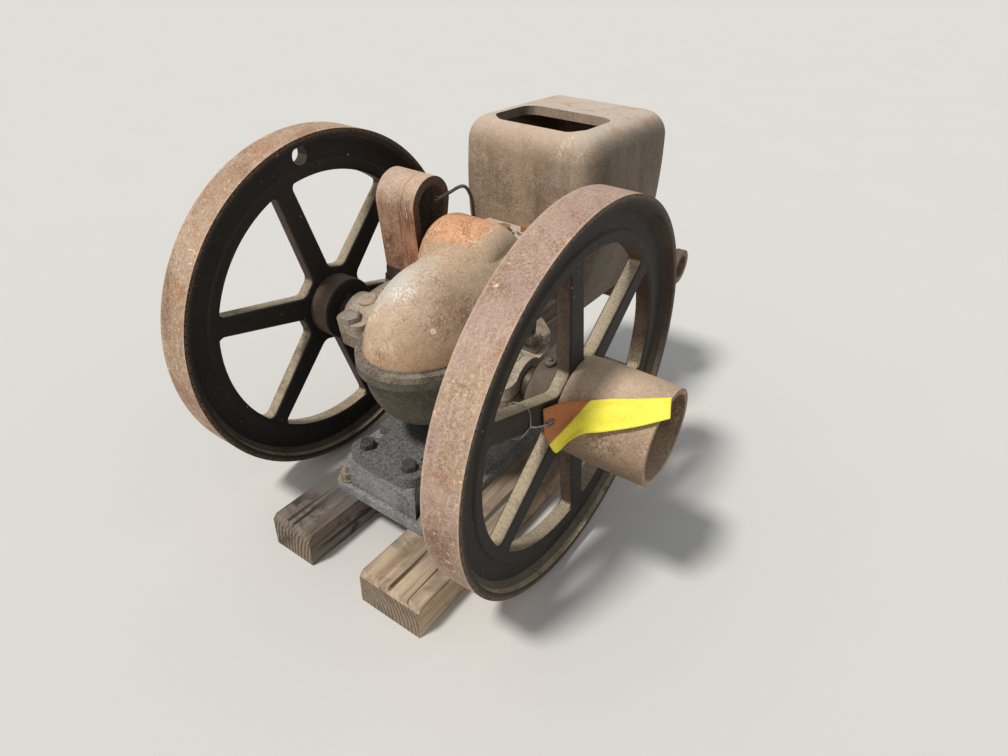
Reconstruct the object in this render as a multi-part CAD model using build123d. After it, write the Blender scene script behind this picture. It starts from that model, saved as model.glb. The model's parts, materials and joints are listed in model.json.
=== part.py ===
"""Small stationary farm engine with two flywheels, on two timber skids.

Units are millimetres.  The crankshaft lies along X, the cylinder along +Y and Z is up.
All pieces are drawn about the crankshaft centre and lifted onto the skids when written.
"""
from build123d import *
import math
import os

# Flywheels
wheel_radius = 228.6
rim_width = 42.6
wheel_centre = 189.5
tread_thickness = 9.0
rim_recess = 13.0
bead_share = 0.358
opening_outer_radius = 177.5
bead_recess = 10.5
spoke_count = 6
spoke_thickness = 18.0
spoke_width_rim = 26.0
spoke_width_hub = 31.0
spoke_root_radius = 52.0
spoke_hub_corner = 12.0
spoke_rim_corner = 8.0
spoke_edge_round = 4.0
spoke_phase_left = 108.5
spoke_phase_right = 101.0
hub_radius = 42.0
hub_outboard = 14.5
hub_inboard = 37.5
balance_hole_diameter = 22.0
balance_hole_inset = 24.6
balance_hole_angle = 97.5

# Crankshaft and its bearings
shaft_diameter = 38.0
bore_clearance = 0.05
shaft_left_overhang = 8.0
bearing_inner = 88.0
bearing_outer = 134.0
bearing_tilt = 9.5
bearing_radius = 30.0
cap_gap = 1.0
cap_lug_front = -44.0
cap_lug_rear = 54.0
cap_lug_corner = 12.0
cap_lug_thickness = 18.0
cap_boss_radius = 13.0
cap_boss_top = 33.0
bearing_bolt_diameter = 12.0
bearing_bolt_spread = 38.5
bearing_bolt_offset = 5.0
bolt_hole_clearance = 0.4
bolt_head_flats = 22.0
bolt_head_height = 9.0
lock_plate_thickness = 3.0
lock_plate_front = 27.0
lock_plate_inner = 93.0
key_width = 9.0
key_height = 9.0
key_length = 60.0
key_head_length = 9.0
key_head_rise = 7.0

# Belt pulley
pulley_radius = 56.0
pulley_crown = 1.5
pulley_wall = 6.5
pulley_outer_end = 302.0
pulley_gap = 0.6
pulley_web_thickness = 9.0
pulley_bolt_count = 4
pulley_bolt_circle = 31.0
pulley_bolt_diameter = 9.5

# Crankcase and cover
case_radius = 107.0
case_half_width = 73.0
case_centre_height = 5.0
split_height = 10.0
case_flange_reach = 8.0
case_flange_thickness = 9.0
cover_flange_thickness = 8.0
gasket_gap = 0.3
case_rear = 112.0
foot_top = -112.0
foot_thickness = 14.0
foot_half_width = 52.0
foot_bolt_left = -32.0
foot_bolt_right = 36.0
foot_bolt_y = -101.0
foot_bolt_diameter = 10.0
foot_bolt_flats = 17.0
lug_radius = 20.0
gusset_thickness = 26.0

# Raised housing at the back of the cover
hump_radius = 56.0
hump_axis_y = 84.0
hump_axis_height = 78.0
dome_rise_angle = 13.0
dome_run = 80.0
hump_left = -66.0
hump_right = 44.0
hump_rear = 111.0
hump_round = 24.0
shoulder_side = 62.0
shoulder_front = 62.0
shoulder_top = 98.0
shoulder_round = 12.0
notch_radius = 15.0
notch_x = 26.0

# Cylinder casting with its open water hopper
hopper_front = 180.5
hopper_rear = 400.0
hopper_top = 231.5
hopper_top_front = 168.0
hopper_top_rear = 412.0
hopper_half_width = 98.5
hopper_shoulder_height = 165.0
hopper_shoulder_half_width = 106.0
hopper_waist_height = 96.0
hopper_waist_half_width = 106.5
hopper_base_height = -14.0
hopper_base_half_width = 74.0
hopper_corner = 38.0
hopper_top_round = 33.0
hopper_wall = 9.0
hopper_floor_height = -2.0
mouth_front = 192.0
mouth_rear = 289.0
mouth_half_width = 67.0
mouth_corner = 22.0
jacket_radius = 72.0
ledge_height = 101.0
ledge_half_width = 66.0
ledge_bolt_spots = ((-5.0, 143.0), (19.0, 163.0))
ledge_bolt_flats = 17.0
ledge_boss_radius = 13.0
ledge_boss_height = 4.0
liner_radius = 52.0

# Cylinder head, valve gear and exhaust
head_thickness = 46.0
head_half_width = 70.0
head_half_height = 74.0
head_corner = 20.0
head_gap = 0.5
head_bolt_diameter = 12.0
head_bolt_x = 56.0
head_bolt_z = 58.0
exhaust_port_height = 0.5
exhaust_radius = 23.0
exhaust_flange_radius = 34.0
exhaust_wall = 5.0
exhaust_end = 147.5
mixer_radius = 21.0
mixer_bore = 15.0
mixer_drop = 62.0
mixer_x = -38.0
mixer_flange_width = 62.0
mixer_flange_depth = 40.0
mixer_flange_thickness = 8.0
rocker_stand_off = 20.0
rocker_depth = 12.0
rocker_height = 14.0
rocker_end = -20.0
pushrod_x = -90.0
pushrod_height = 8.0
pushrod_front = 88.0
rod_diameter = 9.0
rod_fit = 0.2
guide_front = 92.0
guide_rear = 108.0
governor_rod_x = 120.0
governor_rod_height = 68.0
governor_rod_rear = 70.0
detent_rod_x = 117.0
detent_rod_height = 61.0
detent_rod_diameter = 4.0
detent_rod_rear = 136.0
rod_front = 4.0
rod_bracket_end = 127.0

# Magneto
magnet_front_x = -73.0
magnet_narrow = 20.0
magnet_wide = 41.0
magnet_seam = 0.5
magnet_centre_y = 80.0
magnet_outer_radius = 35.0
magnet_arch_height = 141.0
magnet_foot_height = 50.0
magnet_foot_half_width = 23.0
magnet_bar = 11.0
magneto_floor = 30.0
pole_height = 84.0
magneto_end_height = 53.0
magneto_end_radius = 14.0

# Timing gear case on the right side
gear_case_radius = 34.0
gear_case_x = 98.0
gear_case_y = 82.0
gear_case_z = -62.0

# Base casting and timber skids
base_half_width = 80.0
base_front = -121.0
base_rear = 330.0
base_plate_thickness = 12.0
base_underside = -190.0
base_top = -126.0
base_waist_half_width = 56.0
base_waist_front = -96.0
base_corner = 10.0
stud_x = 68.0
stud_front_y = -106.0
stud_rear_y = 300.0
stud_diameter = 11.0
stud_clearance = 0.3
nut_flats = 19.0
nut_height = 9.0
washer_radius = 13.0
washer_thickness = 2.5
skid_height = 48.0
skid_front = -205.0
skid_rear = 400.0
skid_left_inner = -37.0
skid_left_outer = -102.0
skid_right_inner = 48.0
skid_right_outer = 137.0
skid_end_bevel = 12.0

crank_height = skid_height - base_underside


def turned(profile):
    """Solid turned about the crankshaft from an outline drawn as (x, radius)."""
    return revolve(profile, Axis.X)


def ring_x(inner, outer, x0, x1):
    """Plain ring or disc about the crankshaft line, from x0 to x1."""
    disc = Rot(0, 90, 0) * Cylinder(outer, x1 - x0)
    if inner > 0:
        disc -= Rot(0, 90, 0) * Cylinder(inner, x1 - x0 + 2)
    return Pos((x0 + x1) / 2, 0, 0) * disc


def block(x0, x1, y0, y1, z0, z1):
    """Plain block between two corners."""
    middle = Pos((x0 + x1) / 2, (y0 + y1) / 2, (z0 + z1) / 2)
    return middle * Box(x1 - x0, y1 - y0, z1 - z0)


def hex_bolt(diameter, shank, flats, height):
    """Hexagon bolt standing on its shank: the head rests on z = 0 and the shank hangs down."""
    head = extrude(RegularPolygon(flats / 2, 6, major_radius=False), height)
    head = chamfer(head.faces().sort_by(Axis.Z)[-1].edges(), flats * 0.06)
    return head + Pos(0, 0, -shank / 2) * Cylinder(diameter / 2, shank)


def rounded_slab(half_x, y0, y1, corner):
    """Rounded rectangle in plan."""
    return Pos(0, (y0 + y1) / 2, 0) * RectangleRounded(2 * half_x, y1 - y0, corner)


def polar(radius, degrees):
    """Point of the plane across the crankshaft, as (y, z)."""
    a = math.radians(degrees)
    return radius * math.cos(a), radius * math.sin(a)


def spoke_opening():
    """Outline of one gap between two spokes, pointing along +X of the drawing plane."""
    half_gap = math.pi / spoke_count
    corners = []
    for radius, width in ((spoke_root_radius, spoke_width_hub), (opening_outer_radius, spoke_width_rim)):
        edge = half_gap - math.asin(width / 2 / radius)
        corners.append((radius * math.cos(edge), radius * math.sin(edge)))
    (xi, yi), (xo, yo) = corners
    lower_side = Line((xi, -yi), (xo, -yo))
    outer_arc = ThreePointArc((xo, -yo), (opening_outer_radius, 0), (xo, yo))
    upper_side = Line((xo, yo), (xi, yi))
    inner_arc = ThreePointArc((xi, yi), (spoke_root_radius, 0), (xi, -yi))
    outline = make_face(Wire([lower_side, outer_arc, upper_side, inner_arc]))
    hub_end = [v for v in outline.vertices() if math.hypot(v.X, v.Y) < hub_radius + spoke_root_radius]
    outline = fillet(hub_end, spoke_hub_corner)
    rim_end = [v for v in outline.vertices() if math.hypot(v.X, v.Y) > opening_outer_radius - 1]
    return fillet(rim_end, spoke_rim_corner)


def flywheel(side, phase):
    """Spoked flywheel; side is +1 for the right wheel and -1 for the left."""
    half = rim_width / 2
    web_half = half - rim_recess
    bead_half = half - bead_recess
    tread_inner = wheel_radius - tread_thickness
    cove = rim_recess * 0.55
    bead_outer = opening_outer_radius + bead_share * (tread_inner - cove - opening_outer_radius)
    half_profile = [
        (half, wheel_radius),
        (half, tread_inner),
        (web_half + cove, tread_inner - 1.5),
        (web_half, tread_inner - cove),
        (web_half, bead_outer + 2.5),
        (bead_half, bead_outer),
        (bead_half, opening_outer_radius + 4),
        (spoke_thickness / 2, opening_outer_radius),
    ]
    outline = half_profile + [(-x, r) for x, r in reversed(half_profile)]
    rim_face = make_face(Polyline(*outline, close=True))
    rim = turned(rim_face)

    plate = ring_x(0, opening_outer_radius + 6, -spoke_thickness / 2, spoke_thickness / 2)
    across = Plane(origin=(-spoke_thickness, 0, 0), x_dir=(0, 1, 0), z_dir=(1, 0, 0))
    gap = spoke_opening()
    for index in range(spoke_count):
        turn = phase + (index + 0.5) * 360 / spoke_count
        plate -= extrude(across * Rot(0, 0, turn) * gap, 2 * spoke_thickness)
    rounded = []
    for edge in plate.edges():
        centre = edge.center()
        reach = math.hypot(centre.Y, centre.Z)
        flat = abs(abs(centre.X) - spoke_thickness / 2) < 0.01
        if flat and 1 < reach < opening_outer_radius + 2:
            rounded.append(edge)
    plate = fillet(rounded, spoke_edge_round)
    wheel = rim + plate

    outboard, inboard = side * hub_outboard, -side * hub_inboard
    hub_low, hub_high = min(outboard, inboard), max(outboard, inboard)
    hub = ring_x(0, hub_radius, hub_low, hub_high)
    hub = fillet(hub.edges().filter_by(GeomType.CIRCLE), 4)
    wheel += hub
    wheel -= ring_x(0, shaft_diameter / 2, hub_low - 1, hub_high + 1)
    return Pos(side * wheel_centre, 0, 0) * wheel


def balance_hole():
    """Drill for the round hole in the left wheel's web."""
    y, z = polar(wheel_radius - balance_hole_inset, balance_hole_angle)
    drill = Rot(0, 90, 0) * Cylinder(balance_hole_diameter / 2, rim_width)
    return Pos(-wheel_centre, y, z) * drill


def crankshaft():
    """Straight shaft through both wheels; its ends stand a little proud of the hubs."""
    left = -(wheel_centre + hub_outboard + shaft_left_overhang)
    right = wheel_centre + hub_outboard + pulley_web_thickness + 1
    shaft = ring_x(0, shaft_diameter / 2, left, right)
    shaft = chamfer(shaft.edges().filter_by(GeomType.CIRCLE), 1.5)
    return shaft - keyway()


def keyway():
    """Slot for the gib key at the left end of the shaft."""
    left = -(wheel_centre + hub_outboard + shaft_left_overhang)
    depth = key_height / 2
    top = shaft_diameter / 2
    return block(left - 1, left + key_length, -key_width / 2, key_width / 2, top - depth, top + 1)


def flywheel_key():
    """Gib-head key that drives the left wheel."""
    left = -(wheel_centre + hub_outboard + shaft_left_overhang)
    depth = key_height / 2
    top = shaft_diameter / 2
    bar = block(left + 1, left + key_length, -key_width / 2, key_width / 2, top - depth, top + depth)
    head_top = top + depth + key_head_rise
    head = block(left - key_head_length, left + 1, -key_width / 2, key_width / 2, top - depth, head_top)
    return bar + head


def key_slot():
    """Slot in the left wheel's hub above the shaft."""
    left = -(wheel_centre + hub_outboard + shaft_left_overhang)
    depth = key_height / 2
    return block(left - 1, left + key_length, -key_width / 2, key_width / 2, 0, shaft_diameter / 2 + depth)


def belt_pulley():
    """Flat-belt pulley: a slightly crowned open shell with a web bolted to the right hub."""
    inner_end = wheel_centre + spoke_thickness / 2 + pulley_gap
    inside = pulley_radius - pulley_crown - pulley_wall
    middle = (inner_end + pulley_outer_end) / 2
    edge = pulley_radius - pulley_crown
    crown = ThreePointArc((inner_end, edge), (middle, pulley_radius), (pulley_outer_end, edge))
    corners = ((pulley_outer_end, edge), (pulley_outer_end, inside), (inner_end, inside), (inner_end, edge))
    outline = Polyline(*corners)
    shell = turned(make_face(Wire([crown] + list(outline.edges()))))
    web_start = wheel_centre + hub_outboard
    web = ring_x(shaft_diameter / 2, inside, web_start, web_start + pulley_web_thickness)
    pulley = shell + web
    for index in range(pulley_bolt_count):
        y, z = polar(pulley_bolt_circle, 45 + index * 360 / pulley_bolt_count)
        hole = Rot(0, 90, 0) * Cylinder(pulley_bolt_diameter / 2, 4 * pulley_web_thickness)
        pulley -= Pos(web_start, y, z) * hole
    return pulley


def pulley_bolts():
    """Hexagon bolts through the pulley's web, heads inside the pulley."""
    web_face = wheel_centre + hub_outboard + pulley_web_thickness
    bolts = []
    for index in range(pulley_bolt_count):
        y, z = polar(pulley_bolt_circle, 45 + index * 360 / pulley_bolt_count)
        bolt = Rot(0, 90, 0) * hex_bolt(pulley_bolt_diameter, pulley_web_thickness, 15, 6)
        bolts.append(Pos(web_face, y, z) * bolt)
    return Compound(bolts)


def case_form(grow=0.0):
    """Round body about the crank, an ellipse turned about a line parallel to the shaft."""
    a = case_half_width + grow
    r = case_radius + grow
    half = Ellipse(a, r) & Pos(0, r) * Rectangle(2 * a + 2, 2 * r)
    return Pos(0, 0, case_centre_height) * turned(half)


def case_flange(z0, z1):
    """Flange round the case at the split, following its outline."""
    plan = Ellipse(case_half_width + case_flange_reach, case_radius + case_flange_reach)
    flange = Pos(0, 0, z0) * extrude(plan, z1 - z0)
    return flange & block(-200, 200, -200, case_rear - 30, z0 - 1, z1 + 1)


def dome_back():
    """Back of the dome, which runs on and rises gently into the raised housing."""
    section = Plane.XZ * Pos(0, case_centre_height) * Ellipse(case_half_width - 1, case_radius)
    rise = math.radians(dome_rise_angle)
    return extrude(section, dome_run, dir=(0, math.cos(rise), math.sin(rise)))


def crankcase_cover():
    """Domed upper half of the crankcase, with the raised housing at its back."""
    bottom = split_height + gasket_gap
    dome = case_form() & block(-200, 200, -200, case_rear - 20, bottom, 300)
    dome += case_flange(bottom, bottom + cover_flange_thickness)
    dome += dome_back() & block(hump_left, shoulder_side, 0, hump_rear, bottom, 300)
    barrel = ring_x(0, hump_radius, hump_left, hump_right)
    barrel = fillet(barrel.edges().filter_by(GeomType.CIRCLE), hump_round)
    barrel = Pos(0, hump_axis_y, hump_axis_height) * barrel
    skirt = block(hump_left, hump_right, hump_axis_y - hump_radius, 2 * hump_rear, bottom, hump_axis_height)
    skirt = fillet(skirt.edges().filter_by(Axis.Z).group_by(Axis.Y)[0], hump_round)
    shoulder = block(0, shoulder_side, shoulder_front, 2 * hump_rear, bottom, shoulder_top)
    shoulder = fillet(shoulder.faces().sort_by(Axis.Z)[-1].edges(), shoulder_round)
    hump = (barrel + skirt + shoulder) & block(-200, 200, 0, hump_rear, bottom, 300)
    notch = Pos(notch_x, hump_rear, hump_axis_height + 60) * Cylinder(notch_radius, 110)
    cover = dome + hump - notch
    return cover - bearing_tunnel()


def bearing_tunnel():
    """Space round the shaft inside the case."""
    return ring_x(0, shaft_diameter / 2 + 3, -300, 300)


def shaft_bore():
    """Running bore for the shaft."""
    return ring_x(0, shaft_diameter / 2 + bore_clearance, -300, 300)


def crankcase():
    """Lower crankcase: round bowl, split flange, bearing arms and bolted foot."""
    bowl = case_form() & block(-200, 200, -200, case_rear, foot_top, split_height)
    bowl += case_flange(split_height - case_flange_thickness, split_height)
    rear = block(-case_half_width, case_half_width, 40, case_rear, foot_top, split_height)
    bowl += fillet(rear.edges().filter_by(Axis.Y).group_by(Axis.Z)[0], 18)
    for side in (-1, 1):
        arm = ring_x(0, bearing_radius, *sorted((side * 40, side * bearing_outer)))
        saddle = block(
            *sorted((side * 60, side * bearing_outer)), -bearing_radius, bearing_radius, -12, 0
        )
        lugs = block(
            *sorted((side * bearing_inner, side * bearing_outer)),
            cap_lug_front, cap_lug_rear, -cap_lug_thickness, 0
        )
        lugs = fillet(lugs.edges().filter_by(Axis.Z), cap_lug_corner)
        lower = tilted((arm & block(-200, 200, -100, 100, -100, 0)) + saddle + lugs)
        gusset_outline = Polyline(
            (side * 55, -10), (side * bearing_outer, -10), (side * (bearing_outer - 6), -30),
            (side * case_half_width, foot_top), (side * 30, foot_top), close=True
        )
        gusset_face = Plane.XZ * make_face(gusset_outline)
        gusset = extrude(gusset_face, gusset_thickness / 2, both=True)
        bowl += lower + gusset
    foot = block(-foot_half_width, foot_half_width, -60, 70, foot_top - foot_thickness, foot_top + 1)
    foot_middle = (foot_bolt_left + foot_bolt_right) / 2
    lug_line = Pos(foot_middle, foot_bolt_y, foot_top - foot_thickness) * extrude(
        SlotCenterToCenter(foot_bolt_right - foot_bolt_left, 2 * lug_radius), foot_thickness
    )
    bridge = block(foot_bolt_left, foot_bolt_right, foot_bolt_y, -50, foot_top - foot_thickness, foot_top)
    bowl += foot + lug_line + bridge
    bowl -= shaft_bore()
    bowl -= ring_x(0, shaft_diameter / 2 + 3, -90, 90)
    for x in (foot_bolt_left, foot_bolt_right):
        bowl -= Pos(x, foot_bolt_y, foot_top) * Cylinder(
            foot_bolt_diameter / 2 + bolt_hole_clearance, 3 * foot_thickness
        )
    for side in (-1, 1):
        for end in (-1, 1):
            spot = Pos(side * (bearing_inner + bearing_outer) / 2, bearing_bolt_y(end), 0)
            bowl -= tilted(spot * Cylinder(bearing_bolt_diameter / 2 + bolt_hole_clearance, 80))
    return bowl & block(-200, 200, -200, case_rear, -300, split_height)


def tilted(shape):
    """Turn a piece of the bearings about the shaft: their joint line rises to the rear."""
    return Rot(bearing_tilt, 0, 0) * shape


def bearing_bolt_y(end):
    """Place of a bearing bolt along the joint line; end is +1 for the rear one."""
    return bearing_bolt_offset + end * bearing_bolt_spread


def bearing_cap(side):
    """Cap over one main bearing with two bolt lugs."""
    x0, x1 = sorted((side * bearing_inner, side * bearing_outer))
    arch = ring_x(0, bearing_radius, x0, x1)
    lugs = block(x0, x1, cap_lug_front, cap_lug_rear, cap_gap, cap_gap + cap_lug_thickness)
    lugs = fillet(lugs.edges().filter_by(Axis.Z), cap_lug_corner)
    cap = (arch & block(-200, 200, -100, 100, cap_gap, 100)) + lugs
    boss_height = cap_boss_top - cap_gap - shaft_diameter / 2
    boss = Pos((x0 + x1) / 2, 0, cap_boss_top - boss_height / 2) * Cylinder(cap_boss_radius, boss_height)
    cap += chamfer(boss.edges().group_by(Axis.Z)[-1], 2)
    cap -= shaft_bore()
    for end in (-1, 1):
        spot = Pos((x0 + x1) / 2, bearing_bolt_y(end), cap_gap)
        cap -= spot * Cylinder(bearing_bolt_diameter / 2 + bolt_hole_clearance, 80)
    return tilted(cap)


def bearing_bolts(side):
    """The two hexagon bolts that hold one cap down."""
    middle = side * (bearing_inner + bearing_outer) / 2
    top = cap_gap + cap_lug_thickness
    shank = 2 * cap_lug_thickness + cap_gap
    bolts = []
    for end in (-1, 1):
        lift = lock_plate_thickness if side == end == 1 else 0
        bolt = hex_bolt(bearing_bolt_diameter, shank + lift, bolt_head_flats, bolt_head_height)
        bolts.append(tilted(Pos(middle, bearing_bolt_y(end), top + lift) * bolt))
    return Compound(bolts)


def lock_plate():
    """Flat plate under the rear bolt of the right bearing, reaching back past the cap."""
    middle = (bearing_inner + bearing_outer) / 2
    outline = Polyline(
        (lock_plate_inner, lock_plate_front), (bearing_outer - 6, lock_plate_front),
        (bearing_outer - 6, 58), (bearing_outer - 12, 68.5), (96, 89.5), close=True
    )
    plate = Pos(0, 0, cap_gap + cap_lug_thickness) * extrude(make_face(outline), lock_plate_thickness)
    plate = fillet(plate.edges().filter_by(Axis.Z), 2)
    hole = Cylinder(bearing_bolt_diameter / 2 + bolt_hole_clearance, 80)
    return tilted(plate - Pos(middle, bearing_bolt_y(1), 0) * hole)


def foot_bolts():
    """Bolts that hold the crankcase foot to the base."""
    bolts = []
    for x in (foot_bolt_left, foot_bolt_right):
        bolt = hex_bolt(foot_bolt_diameter, foot_thickness, foot_bolt_flats, bolt_head_height)
        bolts.append(Pos(x, foot_bolt_y, foot_top) * bolt)
    return Compound(bolts)


def gear_case():
    """Round timing gear cover at the right of the crankcase, below the rods."""
    inner = case_half_width + gasket_gap
    disc = Rot(0, 90, 0) * Cylinder(gear_case_radius, gear_case_x - inner)
    disc = fillet(disc.edges().filter_by(GeomType.CIRCLE).sort_by(Axis.X)[-1], 5)
    return Pos((gear_case_x + inner) / 2, gear_case_y, gear_case_z) * disc


def hopper_outer():
    """Outside of the hopper: a tall tapering box with large rounded corners."""
    rise = (hopper_shoulder_height - hopper_waist_height) / (hopper_top - hopper_waist_height)
    shoulder_front_y = hopper_front + rise * (hopper_top_front - hopper_front)
    shoulder_rear_y = hopper_rear + rise * (hopper_top_rear - hopper_rear)
    waist = Pos(0, 0, hopper_waist_height) * rounded_slab(
        hopper_waist_half_width, hopper_front, hopper_rear, hopper_corner
    )
    middle = Pos(0, 0, hopper_shoulder_height) * rounded_slab(
        hopper_shoulder_half_width, shoulder_front_y, shoulder_rear_y, hopper_corner
    )
    top = Pos(0, 0, hopper_top) * rounded_slab(
        hopper_half_width, hopper_top_front, hopper_top_rear, hopper_corner
    )
    upper = loft([waist, middle, top])
    upper = fillet(upper.faces().sort_by(Axis.Z)[-1].edges(), hopper_top_round)
    base = Pos(0, 0, hopper_base_height) * rounded_slab(
        hopper_base_half_width, hopper_front, hopper_rear, hopper_corner
    )
    lower = loft([base, waist])
    return upper + lower


def hopper_inner():
    """Water space inside the hopper, open at the mouth."""
    wall = hopper_wall
    floor = Pos(0, 0, hopper_floor_height) * rounded_slab(
        hopper_base_half_width - wall, hopper_front + wall, hopper_rear - wall, hopper_corner - wall
    )
    roof = Pos(0, 0, hopper_top - wall - 3) * rounded_slab(
        hopper_half_width - wall - 12, hopper_top_front + wall + 8, hopper_top_rear - wall - 12,
        hopper_corner - wall
    )
    mouth = Pos(0, 0, hopper_top - wall - 6) * extrude(
        rounded_slab(mouth_half_width, mouth_front, mouth_rear, mouth_corner), 2 * wall + 10
    )
    return loft([floor, roof]) + mouth


def water_hopper():
    """Cylinder casting: hopper, round jacket below it and bolting ledge in front."""
    body = hopper_outer()
    ledge = block(-ledge_half_width, ledge_half_width, case_rear, hopper_front + 20, -60, ledge_height)
    ledge = fillet(ledge.edges().filter_by(Axis.Y).group_by(Axis.Z)[-1], 16)
    for x, y in ledge_bolt_spots:
        boss = Cylinder(ledge_boss_radius, ledge_boss_height)
        ledge += Pos(x, y, ledge_height + ledge_boss_height / 2) * boss
    length = hopper_rear - case_rear
    jacket = Rot(90, 0, 0) * Cylinder(jacket_radius, length)
    jacket = Pos(0, (case_rear + hopper_rear) / 2, 0) * jacket
    jacket &= block(-200, 200, 0, 500, -200, hopper_base_height + 4)
    casting = body + ledge + jacket
    casting -= hopper_inner()
    return casting & block(-300, 300, case_rear + gasket_gap, hopper_top_rear, -300, 400)


def ledge_bolts():
    """Two bolts on the ledge before the hopper."""
    bolts = []
    for x, y in ledge_bolt_spots:
        head = extrude(RegularPolygon(ledge_bolt_flats / 2, 6, major_radius=False), 7)
        bolts.append(Pos(x, y, ledge_height + ledge_boss_height) * head)
    return Compound(bolts)


def cylinder_liner():
    """Cylinder wall that crosses the water space inside the hopper."""
    y0 = hopper_front + hopper_wall + 6
    y1 = hopper_rear - hopper_wall - 6
    tube = Rot(90, 0, 0) * Cylinder(liner_radius, y1 - y0)
    tube = Pos(0, (y0 + y1) / 2, 0) * tube
    return tube & block(-200, 200, 0, 500, hopper_floor_height, 200)


def cylinder_head():
    """Head bolted to the back of the cylinder casting."""
    y0 = hopper_rear + head_gap
    plan = RectangleRounded(2 * head_half_width, 2 * head_half_height, head_corner)
    face = Plane(origin=(0, y0, 0), x_dir=(-1, 0, 0), z_dir=(0, 1, 0)) * plan
    head = extrude(face, head_thickness)
    head = fillet(head.faces().sort_by(Axis.Y)[-1].edges(), 6)
    valve_box = block(-30, 34, y0 + head_thickness - 1, y0 + head_thickness + 16, 8, 60)
    return head + fillet(valve_box.edges().filter_by(Axis.Y), 10)


def head_bolts():
    """Nuts on the studs at the corners of the head."""
    y0 = hopper_rear + head_gap + head_thickness
    bolts = []
    for x in (-head_bolt_x, head_bolt_x):
        for z in (-head_bolt_z, head_bolt_z):
            nut = Rot(-90, 0, 0) * hex_bolt(head_bolt_diameter, 1, 19, 10)
            bolts.append(Pos(x, y0, z) * (nut & block(-50, 50, 0, 50, -50, 50)))
    return Compound(bolts)


def exhaust_stub():
    """Exhaust fitting on the right of the head, with an open round mouth."""
    y = hopper_rear + head_gap + head_thickness / 2
    start = head_half_width
    tube = ring_x(exhaust_radius - exhaust_wall, exhaust_radius, start + 8, exhaust_end)
    flange = ring_x(0, exhaust_flange_radius * 0.72, start, start + 8)
    collar = ring_x(exhaust_radius - exhaust_wall, exhaust_radius + 4, exhaust_end - 12, exhaust_end)
    return Pos(0, y, exhaust_port_height) * (tube + flange + collar)


def fuel_mixer():
    """Fuel and air mixer under the head: an upright tube with an open mouth."""
    y = hopper_rear + head_gap + head_thickness / 2
    top = -head_half_height
    outer = Pos(mixer_x, y, top - mixer_drop / 2) * Cylinder(mixer_radius, mixer_drop)
    plate = Box(mixer_flange_width, mixer_flange_depth, mixer_flange_thickness)
    flange = Pos(mixer_x, y, top - mixer_flange_thickness / 2) * plate
    bore = Pos(mixer_x, y, top - mixer_drop / 2 - 10) * Cylinder(mixer_bore, mixer_drop)
    return outer + flange - bore


def rocker_arm():
    """Rocker on a bracket at the back of the head, reaching out to the pushrod."""
    y0 = hopper_rear + head_gap + head_thickness
    y1 = y0 + rocker_stand_off
    low = pushrod_height - rocker_height / 2
    arm = block(pushrod_x - 8, rocker_end, y1, y1 + rocker_depth, low, low + rocker_height)
    bracket = block(-44, -36, y0, y1, low - 12, low + rocker_height)
    return fillet(arm.edges().filter_by(Axis.Y), 5) + bracket


def rod(x, z, diameter, y0, y1):
    """Round rod along the cylinder."""
    bar = Rot(90, 0, 0) * Cylinder(diameter / 2, y1 - y0)
    return Pos(x, (y0 + y1) / 2, z) * bar


def pushrod():
    """Pushrod on the left side, from the crankcase to the rocker."""
    rear = hopper_rear + head_gap + head_thickness + rocker_stand_off
    return rod(pushrod_x, pushrod_height, rod_diameter, pushrod_front, rear)


def pushrod_guide():
    """Boss on the left of the crankcase that the pushrod slides in."""
    boss = block(
        pushrod_x - 10, -case_half_width - gasket_gap, guide_front, guide_rear,
        pushrod_height - 14, pushrod_height + 10
    )
    boss = fillet(boss.edges().filter_by(Axis.Y).group_by(Axis.X)[0], 8)
    return boss - rod(pushrod_x, pushrod_height, rod_diameter + rod_fit, 0, 300)


def governor_rod():
    """Upper rod on the right side, beside the dome."""
    return rod(governor_rod_x, governor_rod_height, rod_diameter, rod_front, governor_rod_rear)


def detent_rod():
    """Thin rod just below the governor rod, reaching further back."""
    return rod(detent_rod_x, detent_rod_height, detent_rod_diameter, rod_front, detent_rod_rear)


def rod_foot():
    """Front bracket on the flank of the dome, which carries both rods."""
    plate = block(shoulder_side + gasket_gap, rod_bracket_end, 10, 20, 50, 76)
    plate = fillet(plate.edges().filter_by(Axis.Y).group_by(Axis.X)[-1], 4)
    plate -= case_form(gasket_gap)
    plate -= rod(governor_rod_x, governor_rod_height, rod_diameter + rod_fit, 0, 300)
    return plate - rod(detent_rod_x, detent_rod_height, detent_rod_diameter + rod_fit, 0, 300)


def rod_guide():
    """Rear bracket on the side of the bolting ledge, which guides the thin rod."""
    plate = block(ledge_half_width, detent_rod_x + 7, 113, 125, 50, 70)
    plate = fillet(plate.edges().filter_by(Axis.Y).group_by(Axis.X)[-1], 6)
    return plate - rod(detent_rod_x, detent_rod_height, detent_rod_diameter + rod_fit, 0, 300)


def magnet(x0, x1):
    """Horseshoe magnet, legs down and drawn in a little at the feet."""
    def horseshoe(inset):
        r = magnet_outer_radius - inset
        foot = magnet_foot_half_width - inset
        top = magnet_arch_height
        low = magnet_foot_height - (2 if inset else 0)
        arch = ThreePointArc((-r, top), (0, top + r), (r, top))
        right = Line((r, top), (foot, low))
        under = Line((foot, low), (-foot, low))
        left = Line((-foot, low), (-r, top))
        return make_face(Wire([arch, right, under, left]))
    outline = horseshoe(0) - horseshoe(magnet_bar)
    placed = Plane(origin=(x0, magnet_centre_y, 0), x_dir=(0, 1, 0), z_dir=(1, 0, 0)) * outline
    bar = extrude(placed, x1 - x0)
    return bar


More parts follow.
